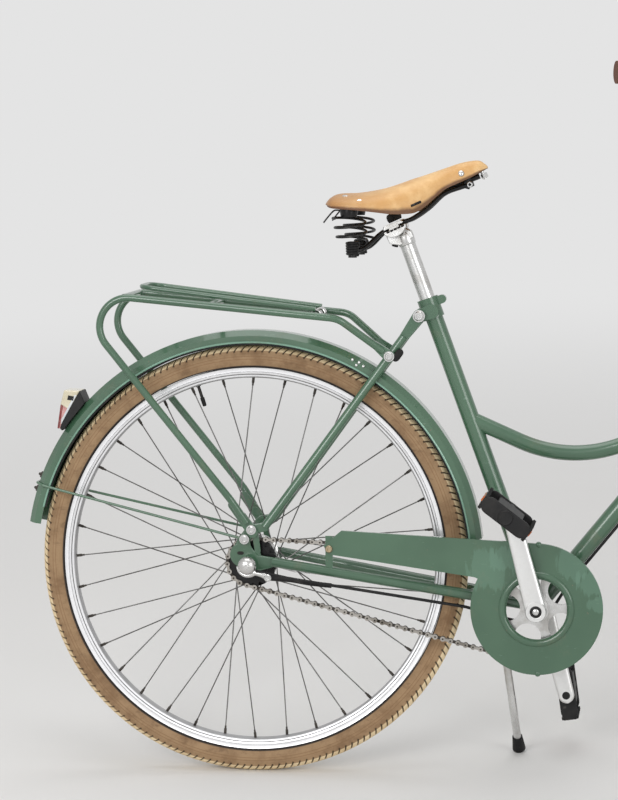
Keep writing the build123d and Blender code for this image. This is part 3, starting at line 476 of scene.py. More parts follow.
paintLook = {
    "dark": tint(59, 92, 69), "light": tint(71, 104, 80), "under": tint(116, 156, 136),
    "dirt": 0.4, "scratch": 0.3, "chips": 0.6,
}
wornPlaces = ((-78, 62, 36), (-52, 82, 24), (62, 74, 30), (88, 44, 24), (96, 10, 14))
wornSpots = [onGuard(*place) for place in wornPlaces]
blackLook = {
    "colour": tint(15, 15, 16), "dust": 0.12, "dustColour": tint(92, 87, 82), "scuff": 0.2,
    "roughness": 0.5, "grain": 700,
}
metalLooks = (
    # finish, name, colour, dull tone, rust, roughness, brush marks, their relief, detail of the dull patches
    ("silver_rim", "silverRim", (236, 236, 238), (222, 222, 223), -0.04, 0.3, (1, 1, 1), 0.06, 6),
    ("bright_steel", "brightSteel", (214, 214, 213), (202, 201, 199), -0.1, 0.14, (1, 1, 3), 0.01, 1),
    ("arm", "crankSteel", (226, 226, 225), (212, 211, 209), -0.04, 0.3, (1, 1, 4), 0.03, 6),
    ("alloy", "alloy", (214, 214, 213), (176, 174, 170), 0.04, 0.24, (8, 1, 1), 0.06, 6),
    ("chain_steel", "chainSteel", (172, 168, 162), (112, 106, 98), 0.1, 0.32, (1, 1, 1), 0.06, 6),
    ("spoke", "spokeSteel", (118, 117, 116), (84, 82, 80), 0.1, 0.3, (1, 1, 1), 0.06, 6),
    ("grimy", "grimySteel", (74, 70, 66), (44, 41, 38), 0.12, 0.42, (1, 1, 1), 0.06, 6),
    ("brass", "brassBolt", (182, 166, 138), (134, 114, 84), 0.14, 0.26, (1, 1, 1), 0.06, 6),
)
lensLooks = (
    # finish, name, colour, deep tone, ribs
    ("red_lens", "redLens", (128, 26, 28), (84, 10, 12), 60),
    ("clear_lens", "clearLens", (222, 214, 190), (176, 164, 128), 60),
    ("lamp_glass", "lampGlass", (222, 226, 228), (176, 184, 190), 40),
    ("pale", "paleLens", (208, 156, 152), (168, 92, 92), 120),
    ("amber", "amberReflector", (222, 112, 34), (170, 70, 16), 90),
)
finishes = {
    "green_paint": enamel("greenPaint", paintLook),
    "worn": enamel("wornPaint", {**paintLook, "worn": wornSpots}),
    # the guards' rolled lips in a lighter green: a painted highlight along their lower edges
    "lip": enamel("lipHighlightPaint", {**paintLook, "dark": tint(112, 150, 130), "light": tint(126, 166, 146)}),
    "tan_tyre": tyreRubber("tanTyre"),
    "tan_leather": leather("tanLeather"),
    "black_steel": mould("blackSteel", {**blackLook, "roughness": 0.3, "grain": 300}),
    "black_plastic": mould("blackPlastic", blackLook),
    "black_rubber": mould("blackRubber", {**blackLook, "roughness": 0.68, "dust": 0.35}),
    "brown_grip": mould("brownGrip", {
        **blackLook, "colour": tint(92, 54, 34), "dustColour": tint(140, 104, 76), "roughness": 0.6, "grain": 420}),
}
for finish, *look in metalLooks:
    finishes[finish] = metal(*look)
for finish, *look in lensLooks:
    finishes[finish] = lens(*look)
slotOf = {part["node"]: part["material_slot"] for part in frame["record"]["subparts"]}
ownFinish = {"chain_guard": "worn"}
for node, slot in slotOf.items():
    materials = frame["nodes"][node].data.materials
    materials.clear()
    materials.append(finishes[ownFinish.get(node, slot)])
print("finishes on", len(slotOf), "nodes")


def addSlotPiece(name, patches, body, slot, replaced=(), **more):
    return addPiece(name, patches, body, slot, finishes[slot], replaced, **more)


# Wheels

tyre = {
    "radius": 353, "half": 21, "beadRadius": 316.5, "sections": 48, "blocks": 186, "tread": 1.7, "slant": 0.95,
    "shoulder": 56, "rib": 10, "steps": (0, 0.03, 0.25, 0.28, 0.5, 0.76), "sunk": (0, 1, 1, 0, 0, 0),
}
rim = {"inner": 299, "half": 12.5}
spoke = {"count": 36, "radius": 1.0, "cross": 60, "inset": 3.5, "stand": 2.8, "nipple": 13}
valveTurn = 108


def tyreSurface(centre):
    # a circle about the tyre's core line turned about the axle, sheared so that its rows follow the slanted grooves
    reach = np.arccos((tyre["beadRadius"] - tyre["radius"] + tyre["half"]) / tyre["half"])
    rows = np.add.outer(np.arange(tyre["blocks"]), tyre["steps"]).ravel() / tyre["blocks"] * 2 * np.pi
    sunk = np.tile(tyre["sunk"], tyre["blocks"])
    across = np.linspace(-reach, reach, tyre["sections"])
    side = np.degrees(np.abs(across))
    shear = tyre["slant"] * np.minimum(side / tyre["shoulder"], 1) / tyre["blocks"] * 2 * np.pi
    around = rows[:, None] + shear
    onTread = (side > tyre["rib"]) & (side < tyre["shoulder"])
    cut = sunk[:, None] * onTread
    lift = -tyre["tread"] * np.maximum(cut, side > tyre["shoulder"])
    thick = tyre["half"] + lift
    radius = tyre["radius"] - tyre["half"] + thick * np.cos(across)
    points = np.stack(
        [centre + radius * np.cos(around), thick * np.sin(across) + 0 * around, radius * np.sin(around)], -1
    )
    return surface(points, roll=True, turn=True), cut


def rimSurface(centre):
    # a banded half section of (across, out, painted shade), mirrored and turned about the axle; the shade sits in
    # the grooves, on the inner face and under the tyre's bead
    half = np.array([
        (0, 0, 0.5), (6.5, 0.2, 0.5), (9.4, 1.4, 0.55), (10.0, 2.2, 0.5), (10.5, 2.8, 0), (10.9, 5.4, 0),
        (10.2, 5.9, 0.8), (10.3, 6.5, 0.8), (11.4, 7.0, 0), (12.0, 8.4, 0), (12.1, 9.8, 0), (11.6, 10.2, 0.4),
        (11.8, 10.7, 0.4), (12.4, 11.1, 0), (12.5, 15.6, 0), (12.9, 17.0, 0), (12.2, 17.6, 0.5), (11.2, 17.0, 0.9),
        (10.5, 13, 0.9), (0, 11, 0.9),
    ]) + [0, rim["inner"], 0]
    profile = np.vstack([half, half[-2:0:-1] * [-1, 1, 1]])
    return turned(profile[:, :2], (centre, 0, 0), count=288, loop=True), np.repeat(profile[:, 2], 288)


def spokeParts(centre, flangeRadius, flangeY):
    # straight spokes from the flange's holes, in crossing pairs, each with its nipple
    wires, nipples = [], []
    for i in range(spoke["count"]):
        side = 1 if i % 2 == 0 else -1
        outside = (i // 2) % 2 == 0
        rimTurn = 2 * np.pi / spoke["count"] * i
        hubTurn = rimTurn + np.radians(spoke["cross"] if outside else -spoke["cross"])
        hubY = side * (flangeY + 2 * spoke["stand"] if outside else flangeY - spoke["stand"])
        hole = flangeRadius - spoke["inset"]
        start = np.array([centre + hole * np.cos(hubTurn), hubY, hole * np.sin(hubTurn)])
        end = arcPath(centre, rim["inner"], side * rim["half"] / 4, rimTurn)
        head = start - [0, side * 5.5 * (1 if outside else -1), 0]
        run = unit(end - start)
        wires.append(tube([head, start, start + run * 6, end], spoke["radius"], 8, (0.2, 0.1, 0.97)))
        neck = end - run * spoke["nipple"]
        nipples.append(tube([neck, neck + run * 4, neck + run * 5, end], [1.5, 1.6, 2.3, 2.3], 8, (0.2, 0.1, 0.97)))
    return wires, nipples


wheels = (
    # name, body, centre, hub flange radius, flange half spacing
    ("rear", "rear_wheel", 0.0, 37, 29),
    ("front", "front_wheel", wheelbase, 21, 32),
)
for name, body, centre, flangeRadius, flangeY in wheels:
    patch, mark = tyreSurface(centre)
    addSlotPiece(name + "Tyre", [patch], body, "tan_tyre", [name + "_tyre"], mark=mark, sharp=50)
    patch, mark = rimSurface(centre)
    addSlotPiece(name + "Rim", [patch], body, "silver_rim", [name + "_rim"], mark=mark, sharp=24)
    wires, nipples = spokeParts(centre, flangeRadius, flangeY)
    addPiece(name + "Spokes", wires, body, "bright_steel", finishes["spoke"], [name + "_spokes"])
    addPiece(name + "Nipples", nipples, body, "chain_steel", finishes["grimy"])
    ray = wheelRay(valveTurn)
    foot = np.array([centre, 0, 0]) + ray * rim["inner"]
    valve = turned([(-1, 0), (-1, 4.5), (1, 4.5), (1, 2.6), (34, 2.6), (34, 0)], foot, -ray, 16)
    cap = turned([(20, 0), (20, 3.6), (33, 3.4), (35, 2.4), (35, 0)], foot, -ray, 16)
    addSlotPiece(name + "Valve", [valve, cap], body, "black_rubber")
print("wheels")

hub = {"low": -42, "high": 50}
hubHalf = [
    (hub["low"], 0), (hub["low"], 17), (-38, 20), (-33, 22), (-31, 36.4), (-30.4, 37), (-27.8, 37), (-27.2, 36.2),
    (-26, 31), (-22, 28), (-10, 27), (10, 27), (22, 28), (26, 31), (27.2, 36.2), (27.8, 37), (30.4, 37), (31, 36.4),
    (33, 25), (44, 23), (49, 21), (hub["high"], 18), (hub["high"], 0),
]
addSlotPiece("rearHub", [turned(hubHalf, (0, 0, 0), count=72)], "rear_wheel", slotOf["rear_hub"], ["rear_hub"])

dustDisc = [(-36, 20), (-36, 41), (-37, 42), (-37.6, 41), (-37.6, 20)]
addSlotPiece("dustDisc", [turned(dustDisc, (0, 0, 0), count=64, loop=True)], "rear_wheel", "black_steel")

# Chain: plates in the shape of an eight in turn inside and outside, with a roller at every joint

chain = {"line": -46, "pitch": 12.7, "small": 19, "large": 44, "eye": 4.2, "waist": 2.1, "plate": 1.15, "inner": 2.1}


def chainLoop():
    # the belt line round both toothed discs, as points a short way apart
    gap = np.hypot(crankSpot[0], crankSpot[2])
    slope = np.arctan2(crankSpot[2], crankSpot[0])
    small, large = (chain["pitch"] / 2 / np.sin(np.pi / chain[key]) for key in ("small", "large"))
    wrap = np.arcsin((large - small) / gap)
    front = np.linspace(slope + wrap + np.pi / 2, slope - wrap - np.pi / 2, 400)
    back = np.linspace(slope - wrap - np.pi / 2, slope + wrap - 1.5 * np.pi, 200)
    arcs = [
        np.stack([crankSpot[0] + large * np.cos(front), crankSpot[2] + large * np.sin(front)], -1),
        np.stack([small * np.cos(back), small * np.sin(back)], -1),
    ]
    return np.concatenate([*arcs, arcs[0][:1]])


loop = chainLoop()
run = np.concatenate([[0], np.cumsum(np.hypot(*np.diff(loop, axis=0).T))])
links = 2 * round(run[-1] / chain["pitch"] / 2)
pins = np.stack([np.interp(np.arange(links + 1) / links * run[-1], run, loop[:, k]) for k in (0, 1)], -1)
along = unit(np.diff(pins, axis=0))
u = chain["pitch"] / 2 - (chain["pitch"] / 2 + chain["eye"]) * np.cos(np.linspace(0, np.pi, 15))
eyes = np.sqrt(np.clip(chain["eye"] ** 2 - np.minimum(u**2, (u - chain["pitch"]) ** 2), 0, None))
between = (u > 0) & (u < chain["pitch"])
half = np.maximum(eyes, np.where(between, chain["waist"], 0))
chainPatches, rollers = [], []
for i in range(links):
    across = np.array([-along[i, 1], along[i, 0]])
    outer = chain["inner"] + (i % 2) * (chain["plate"] + 0.05)
    for side in (-1, 1):
        depth = chain["line"] + side * (outer + np.array([0, 1, 1, 0]) * chain["plate"])
        lift = np.array([1, 1, -1, -1])
        flat = pins[i] + u[:, None, None] * along[i] + (half[:, None] * lift)[..., None] * across
        points = np.stack([flat[..., 0], np.broadcast_to(depth, flat.shape[:2]), flat[..., 1]], -1)
        (chainPatches if i % 2 else rollers).append(surface(points, turn=True))
    spot = (pins[i, 0], chain["line"], pins[i, 1])
    rollers.append(turned([(-4.9, 0), (-4.9, 1.7), (4.9, 1.7), (4.9, 0)], spot, count=6))
    rollers.append(turned([(-2.05, 1.9), (-2.05, 3.7), (2.05, 3.7), (2.05, 1.9)], spot, count=8))
addSlotPiece("chainLinks", chainPatches, "frame", "chain_steel", ["chain"], sharp=30)
addPiece("chainRollers", rollers, "frame", "chain_steel", finishes["grimy"], sharp=30)
print("chain", links, "links")

# Cranks and pedals

crank = {"length": 170, "rest": 14.6, "boss": 17, "tip": 13.5, "inner": 74, "outer": 87, "root": 60}
for name, side, turn in (("right", -1, 90), ("left", 1, 270)):
    centre = crankSpot[[0, 2]]
    ray = np.radians(turn + crank["rest"])
    tip = centre + crank["length"] * np.array([np.cos(ray), np.sin(ray)])
    low, high = sideSpan(side, crank["inner"], crank["outer"])
    middle = (centre[0], 0, centre[1])
    boss = np.array([(crank["root"], 0), (crank["root"], 17), (84, 17.4), (88, 16), (88, 10.5), (84, 10), (84, 0)])
    cap = np.array([(80, 0), (80, 10), (87, 9.6), (87.6, 8.6), (87.6, 5), (85, 4.8), (85, 0)])
    eye = np.array([(73.5, 0), (73.5, 10.5), (88, 10.5), (88, 7.2), (86, 7), (86, 0)])
    addPiece(
        name + "CrankArm",
        [
            bar(centre, tip, crank["boss"], crank["tip"], low, high, 0.55),
            turned(boss * [side, 1], middle),
            turned(eye * [side, 1], (tip[0], 0, tip[1])),
        ],
        "crank", slotOf[name + "_crank"], finishes["arm"], [name + "_crank"],
    )
    # a black plug inside the crank's eye: painted shade in its hole
    hole = [(73.2, 0), (73.2, 6.6), (76, 6.6), (76, 0)]
    eyeHoleShade = turned(np.array(hole) * [side, 1], (tip[0], 0, tip[1]))
    addSlotPiece(name + "CrankHoleShade", [eyeHoleShade], "crank", "black_plastic")
    addSlotPiece(name + "CrankCap", [turned(cap * [side, 1], middle)], "crank", "black_plastic")
    bolt = np.array([(82, 0), (82, 4.6), (86.8, 4.6), (87.4, 3.8), (87.4, 0)])
    addSlotPiece(name + "CrankBolt", [turned(bolt * [side, 1], middle)], "crank", "bright_steel")
print("cranks")

pedal = {"near": 94, "far": 186, "tilt": {"right": -37, "left": -82}, "reach": 31, "half": 14}
for name, side, turn in (("right", -1, 90), ("left", 1, 270)):
    body = name + "_pedal"
    ray = np.radians(turn + crank["rest"])
    spot = crankSpot[[0, 2]] + crank["length"] * np.array([np.cos(ray), np.sin(ray)])
    tilt = np.radians(pedal["tilt"][name])
    along, rise = np.array([np.cos(tilt), np.sin(tilt)]), np.array([-np.sin(tilt), np.cos(tilt)])
    parts, glints = [], []
    for low, high in ((pedal["near"] - 0.6, pedal["near"] + 5.4), (pedal["far"] - 5.4, pedal["far"] + 2)):
        ends = sideSpan(side, low, high)
        reach = pedal["reach"] * along
        parts.append(bar(spot - reach, spot + reach, pedal["half"], pedal["half"], *ends))
        for end in (-1, 1):
            for lift in (-9, -3, 3, 9):
                root = spot + end * (pedal["reach"] + 9.5) * along + lift * rise
                path = [root, root + end * along * 3.5, root + end * along * 5]
                path = [(a, side * (low + high) / 2, b) for a, b in path]
                parts.append(tube(path, [2.3, 2.1, 1], 8, (0.1, 1, 0.1)))
    for lift in (-9.5, 9.5):
        ends = sideSpan(side, pedal["near"] + 6, pedal["far"] - 6)
        middle = spot + lift * rise
        parts.append(bar(middle - 22 * along, middle + 22 * along, 2.6, 2.6, *ends, steps=12))
    cap = np.array([(-1, 0), (-1, 12), (3.4, 12), (4.6, 10.6), (4.2, 8), (4.8, 0)]) + [pedal["far"], 0]
    parts.append(turned(cap * [side, 1], (spot[0], 0, spot[1])))
    addSlotPiece(name + "PedalCage", parts, body, slotOf[body])
    for end in (-1, 1):
        face = [end * along * a + rise * b for a, b in ((44.4, -5), (47.4, -4.6), (47.4, 4.6), (44.4, 5))]
        glints.append(prism(spot + np.array(face), *sideSpan(side, 116, 164)))
    addPiece(name + "PedalGlints", glints, body, slotOf[body], finishes["amber"], bevel=0.6)
print("pedals")

# Saddle

saddle = {
    "clamp": 657, "thick": 5, "stations": 90, "arc": 40, "round": 0.8, "square": 0.6, "edge": 1.8, "wire": 2.2,
    "springX": -72, "springY": 62, "springLow": -24, "springHigh": 15, "low": 24, "high": 26, "turns": 2.6,
}
saddleRows = (
    # ahead of the clamp, half width, top, skirt
    (-116, 46, 41, 34), (-110, 72, 46.5, 31), (-98, 88, 51.5, 29), (-66, 97, 53, 27), (-30, 96, 59, 23),
    (-7, 89, 65.5, 20.3), (20, 76, 75, 20.6), (33, 67, 79, 24), (48, 56, 84, 35), (73, 38, 92.5, 57.5),
    (93, 28, 99.3, 67.5), (112, 23, 103.6, 76), (128, 18, 104.2, 84.5), (139.5, 9, 97, 91.5),
)
clampSpot = onSeatTube(saddle["clamp"])


def fromClamp(ahead, y, z):
    return clampSpot + np.array([ahead, y, z])


def saddleSkin(inset):
    # each station is an arch: width by a power of the sine, height by a power of the cosine, finer toward its feet
    rows = spline(saddleRows, saddle["stations"])
    share = np.linspace(-1, 1, saddle["arc"])
    angle = np.pi / 2 * np.sign(share) * (1 - (1 - np.abs(share)) ** saddle["edge"])
    sine = np.sign(angle) * np.abs(np.sin(angle)) ** saddle["round"]
    cosine = np.clip(np.cos(angle), 0, 1) ** saddle["square"]
    ahead = np.broadcast_to(rows[:, :1], (len(rows), len(angle)))
    width = (rows[:, 1:2] - inset) * sine
    height = rows[:, 3:4] + (rows[:, 2:3] - inset - rows[:, 3:4]) * cosine
    return clampSpot + np.stack([ahead, width, height], -1)


outerSkin, innerSkin = saddleSkin(0), saddleSkin(saddle["thick"])
shell = np.concatenate([outerSkin, innerSkin[:, ::-1]], 1)
edges = (shell[[0, -1]] + np.concatenate([innerSkin, outerSkin[:, ::-1]], 1)[[0, -1]]) / 2
edges = edges + np.array([[[-1.5, 0, 0]], [[1.5, 0, 0]]])
addSlotPiece(
    "saddleLeather", [surface(np.concatenate([edges[:1], shell, edges[1:]]), turn=True)],
    "frame", "tan_leather", ["saddle_cover"], sharp=60,
)

railKnots = (
    # ahead of the clamp, height, distance from the middle
    (-72, -38, 62), (-60, -38, 57), (-48, -30, 45), (-27, -10.5, 27), (0, 4, 22), (20, 11, 22), (45, 28, 21),
    (70, 50.5, 15), (95, 60.5, 11), (118, 67, 8),
)
frameWires = []
for side in (-1, 1):
    foot = fromClamp(saddle["springX"], side * saddle["springY"], saddle["springLow"])
    rise = saddle["springHigh"] - saddle["springLow"]
    coil = helix((0, 0, 0), (-0.14, -0.11, 1), (1, 0, 0), saddle["low"], saddle["high"], rise, saddle["turns"])
    frameWires.append(tube(foot + coil * [1, -side, 1], saddle["wire"], 10, (0, 0, 1)))
    stack = helix(foot - np.array([0, 0, 22]), (0, 0, 1), (1, 0, 0), 8.5, 9.5, 21, 5, 20)
    frameWires.append(tube(stack, 2.4, 8, (0, 0, 1)))
    frameWires.append(turned([(-26, 0), (-26, 7), (0, 7), (0, 0)], foot, (0, 0, 1), 20))
    rail = clampSpot + np.array([(x, side * y, z) for x, z, y in railKnots])
    frameWires.append(tube(spline(rail, 70), 3.7, 12, (0, 0, 1)))
    plate = fromClamp(saddle["springX"] - 6, side * saddle["springY"], saddle["springHigh"])
    frameWires.append(turned([(0, 0), (0, 13), (12, 15), (26, 12), (26, 0)], plate, (0, 0, 1), 32))
    tail = [(-80, 50, 24), (-98, 56, 26), (-104, 58, 24), (-112, 60, 15), (-119, 61, 6)]
    frameWires.append(tube(spline([fromClamp(x, side * y, z) for x, y, z in tail], 24), 1.3, 8, (0, 0, 1)))
frameWires += [
    tube([fromClamp(104, 0, 60), fromClamp(112, 0, 90)], 8, 16),
    tube([fromClamp(66, 0, 56), fromClamp(128, 0, 80)], 5, 12),
    tube([fromClamp(-84, -60, 30), fromClamp(-96, 0, 34), fromClamp(-84, 60, 30)], 4, 12, (0, 0, 1)),
]
addSlotPiece("saddleWires", frameWires, "frame", "black_steel", ["saddle_frame"])

rivets = []
rivetRows = (
    # place from the clamp, direction, height
    ((100, 25, 84), (0.12, 1, 0.25), 3.2), ((-84, 66, 48), (-0.1, 0.5, 0.86), 0.9),
    ((-58, 91.6, 40.5), (-0.05, 0.75, 0.66), 0.9),
)
for hand in (-1, 1):
    for (x, y, z), axis, height in rivetRows:
        rivets.append(dome(fromClamp(x, hand * y, z), np.array(axis) * [1, hand, 1], 5.2, height))
noseAxis = np.array([0.45, 0, -0.9])
rivets.append(hexNut(fromClamp(136, 0, 80), noseAxis, 5.5, 4))
rivets.append(turned([(-10, 0), (-10, 3), (10, 3), (10, 0)], fromClamp(133, 0, 84), noseAxis, 16))
for hand in (-1, 1):
    rivets.append(socketBolt(fromClamp(113, hand * 9, 66), (0, hand, 0), 5, 4))
addSlotPiece("saddleRivets", rivets, "frame", "bright_steel")

# black tubes in the saddle's side slots: painted shade in the openings
slotShades = []
for hand in (-1, 1):
    slotShades.append(tube([fromClamp(23, hand * 73.4, 33), fromClamp(38, hand * 63.6, 39.5)], 2.1, 12, (0, 0, 1)))
addSlotPiece("saddleSlotShades", slotShades, "frame", "black_rubber")

tilt = np.radians(24)
ahead, rise = np.array([np.cos(tilt), np.sin(tilt)]), np.array([-np.sin(tilt), np.cos(tilt)])
cradleSpot = clampSpot[[0, 2]] + np.array([-8, -4])
belly = np.radians(np.linspace(180, 360, 19))
cradle = cradleSpot + 19 * (np.cos(belly)[:, None] * ahead + 0.72 * np.sin(belly)[:, None] * rise)
lidCorners = ((-18, 5), (-15, 9), (15, 9), (18, 5), (17, 3), (-17, 3))
lid = cradleSpot + np.array([a * ahead + b * rise for a, b in lidCorners])
clampParts = []
for low, high in ((-32, -14), (14, 32)):
    clampParts += [prism(cradle, low, high), prism(lid, low, high)]
barrel = [(-31, 0), (-31, 9), (31, 9), (31, 0)]
clampParts.append(turned(barrel, (cradleSpot[0], 0, cradleSpot[1]), count=24))
headCorners = ((-24, -15), (-17, -30), (-2, -32), (8, -30), (21, -18), (17, -8), (6, -4), (-12, -9))
head = clampSpot[[0, 2]] + np.array(headCorners)
clampParts.append(prism(head, -12, 12))
collar = [(-24, 0), (-24, 13.2), (-22, 14.2), (-8, 14.2), (-3, 13), (1, 10), (3, 6), (3, 0)]
clampParts.append(turned(collar, onSeatTube(saddle["clamp"] - 10), seatTube, 40))
addSlotPiece("saddleClamp", clampParts, "frame", "alloy", ["saddle_clamp"], bevel=1.2)

# black bars on both faces of the clamp: painted shade between its serrations; then the black knob and nut
serrationShadesAndKnob = []
for y in (-32.4, 32.4):
    for k in range(5):
        spot = cradleSpot + (k * 6.4 - 12.8) * ahead - 2 * rise
        serrationShadesAndKnob.append(bar(spot, spot + 3 * ahead, 1.5, 1.5, y - 0.6, y + 0.6, steps=8))
knob = [(-6, 0), (-6, 11), (-1, 12.5), (4, 12), (7, 10), (8, 6), (8, 0)]
serrationShadesAndKnob.append(turned(knob, fromClamp(-11, 0, 13), (-np.sin(tilt), 0, np.cos(tilt)), 12))
serrationShadesAndKnob.append(hexNut(fromClamp(-9, 0, -31), (-0.25, 0, -1), 5.5, 4))
addSlotPiece("saddleKnobAndSerrationShades", serrationShadesAndKnob, "frame", "black_rubber")
print("saddle")

# Carrier springs, bolts and small trim

springLow, springHigh = span("carrier_springs")
springMiddle = (springLow + springHigh) / 2
carrierCoil = {"wire": 1.5, "length": 26, "turns": 7, "steps": 18}
springRadius = (springHigh[2] - springLow[2]) / 2 - carrierCoil["wire"]
coils = []
for side in (-1, 1):
    start = springMiddle * [1, 0, 1] + np.array([0, side * (springHigh[1] - carrierCoil["length"]), 0])
    winding = (carrierCoil[key] for key in ("length", "turns", "steps"))
    coil = helix(start, (0, side, 0), (1, 0, 0), springRadius, springRadius, *winding)
    coils.append(tube(coil, carrierCoil["wire"], 8))
addSlotPiece("carrierCoils", coils, "frame", "bright_steel", ["carrier_springs"])

lugBolt = onSeatTube(509, -20)
stayFoot = np.array([25, 60, 60.0])
stayNeck = lugBolt + unit(stayFoot * [1, 0, 1] - lugBolt) * 42 + np.array([0, 26, 0])
carrierBolt = stayFoot + (stayNeck - stayFoot) * 0.9
boltSpots = (
    # place for the left side, radius, height
    (lugBolt + np.array([0, 29, 0]), 8, 5),
    (carrierBolt * [1, 0, 1] + np.array([0, 43, 0]), 6.5, 4.5),
    (np.array([4, 69.5, 56]), 6, 4),
    (np.array([-7.5, 69, 40.2]), 6, 4),
)
bolts = []
for spot, radius, height in boltSpots:
    for side in (-1, 1):
        bolts.append(socketBolt(spot * [1, side, 1], (0, side, 0), radius, height))
        washer = [(-1, 0), (-1, radius + 2), (0.8, radius + 2), (0.8, 0)]
        bolts.append(turned(washer, spot * [1, side, 1], (0, side, 0), 24))
addSlotPiece("frameBolts", bolts, "frame", "bright_steel")
guardBolt = np.array([130, -59.3, 25])
addPiece("guardBolt", [socketBolt(guardBolt, (0, -1, 0), 6, 4.5)], "frame", "bright_steel", finishes["brass"])
edgeBolts = [dome(crankSpot * [1, 0, 1] + np.array([x, -57, z]), (0, -1, 0), 5, 4) for x, z in ((3, 105), (2, -105))]
addSlotPiece("guardEdgeBolts", edgeBolts, "frame", "green_paint")

plateLinks = (
    # lobed rear plates as flat links: start, end, their radii
    ((-12, 14), (1, 1), 20, 17), ((-12, 18), (-9, 40), 16, 9), ((-8.5, 40), (4, 56), 9, 9),
    ((9, 52), (13.5, 20), 5.4, 5), ((0, 0), (35, 2), 16, 8.6), ((4, 56), (25, 60), 8, 7.5),
    ((4, 56), (-8, 72), 8, 6.5), ((-10, 15), (12, 13), 11, 7),
)
plates, legs = [], []
for side in (-1, 1):
    for k, (start, end, startRadius, endRadius) in enumerate(plateLinks):
        plates.append(bar(start, end, startRadius, endRadius, *sideSpan(side, 57 + 0.08 * k, 63 - 0.08 * k)))
    legs.append(bar((6, 51), (-27, 96), 8.4, 7, *sideSpan(side, 63.4, 68.4), 0.25))
addSlotPiece("dropoutPlates", plates, "frame", slotOf["dropouts"], ["dropouts"])
addSlotPiece("carrierFeet", legs, "frame", slotOf["carrier_rails"])
# black plugs in the carrier foot's hole and the dropout's slot: painted shade in these openings
holeShades = []
for side in (-1, 1):
    holeShades.append(turned([(63, 0), (63, 2.8), (68.8, 2.8), (68.8, 0)], (-11.5, 0, 74), (0, side, 0), 16))
    holeShades.append(bar((-17, 17), (-12, 17), 3, 3, *sideSpan(side, 60, 63.3), steps=10))
addSlotPiece("plateHoleShades", holeShades, "frame", "black_rubber")

guardRadius = 378
lip = {"radius": 358.6, "y": 26.4, "wire": 1.7, "shadeStripRadius": 356.5, "shadeStripY": 24.6}
# black strips inside each guard, between its lips: painted shade between guard and tyre
shadeStripSection = [(-2.5, -0.5), (2.5, -0.5), (2.5, 0.5), (-2.5, 0.5)]
guards = (
    # name, body, axle, first and last turn
    ("rear", "frame", 0, 6.3, 166.3), ("front", "steering", wheelbase, 50.3, 200.3),
)
for name, body, centre, first, last in guards:
    turns = np.radians(np.linspace(first, last, 120))
    lips, shadeStrips = [], []
    for side in (-1, 1):
        lips.append(tube(arcPath(centre, lip["radius"], side * lip["y"], turns), lip["wire"], 8))
        shadeStrips.append(carried(arcPath(centre, lip["shadeStripRadius"], side * lip["shadeStripY"], turns), shadeStripSection))
    # the lips' lighter green paint is a painted highlight
    addPiece(name + "GuardLips", lips, body, "green_paint", finishes["lip"])
    # black strips inside the guard: painted shade between guard and tyre
    addSlotPiece(name + "GuardShadeStrips", shadeStrips, body, "black_rubber")

wireBolts = []
for turn in (159.2, 162.8):
    ray = wheelRay(turn)
    wireBolts.append(hexNut(ray * guardRadius, ray, 5.5, 5))
    wireBolts.append(dome(ray * (guardRadius + 4), ray, 3, 5))
addPiece("wireBolts", wireBolts, "frame", "black_steel", finishes["grimy"])

bridgeRivets = []
for turn, out in ((63.4, 370), (61.6, 371), (61.9, 365), (60.2, 369)):
    for side in (-1, 1):
        bridgeRivets.append(dome(wheelRay(turn) * out + np.array([0, side * 26, 0]), (0, side, 0), 2.6, 2))
addSlotPiece("guardRivets", bridgeRivets, "frame", "bright_steel")

clickSpot = np.array([0, -84, 0])
clickBox = [(0, 0), (0, 14), (4, 15), (10, 14.4), (14, 12), (17, 7.5), (18, 3), (18, 0)]
sweep = np.radians(np.linspace(185, 318, 24))
armPath = [(16 * np.cos(a), -88, 16 * np.sin(a)) for a in sweep] + [(24, -88, -14), (34, -88, -19)]
clickParts = [
    turned(clickBox, clickSpot, (0, -1, 0), 40), tube(armPath, np.linspace(2, 5, len(armPath)), 12),
    socketBolt((34, -91, -19), (0, -1, 0), 6, 4), hexNut((0, -101, 0), (0, -1, 0), 4.5, 2),
]
addSlotPiece("clickBox", clickParts, "frame", "bright_steel", ["gear_click_box"])
sleevePath = spline([(36, -86, -19), (52, -82, -21), (72, -77, -24), (100, -69, -30), (134, -60, -35)], 30)
addSlotPiece("cableSleeve", [tube(sleevePath, np.linspace(4.6, 4, 30), 12)], "frame", "black_rubber")

tailLampTurn = 140.7
lampOut = wheelRay(tailLampTurn)[[0, 2]]
lampAlong = np.array([-lampOut[1], lampOut[0]])
tailLamp = (
    # piece, node it stands for, finish, corners (along the guard, out from it), half width
    ("tailLampHousing", "tail_lamp_housing", "black_plastic",
     ((-33, 19), (3, 13), (31, 8), (37, 5), (37, 0), (-23, 0)), 25),
    ("tailLampRed", "tail_lamp_red_lens", "red_lens", ((4.4, 25), (5, 30), (40, 9), (37.6, 6.5)), 23),
    ("tailLampPale", "", "pale", ((3, 13), (4.4, 25), (37.6, 6.5), (37, 5), (31, 8)), 22.4),
    ("tailLampClear", "tail_lamp_clear_lens", "clear_lens", ((-33, 19), (-17, 40), (5, 30), (3, 13)), 23),
    # a pale strip along the housing's edge: a painted highlight
    ("tailLampRibs", "", "lamp_glass", ((-24, 18.5), (-22, 21.5), (24, 13), (30, 8.4)), 23.3),
    ("tailLampShade", "", "black_plastic", ((-20, 20), (-15, 29), (-8, 26), (-13, 17.5)), 23.3),
)
slotHere = {"pale": "red_lens", "lamp_glass": "clear_lens"}
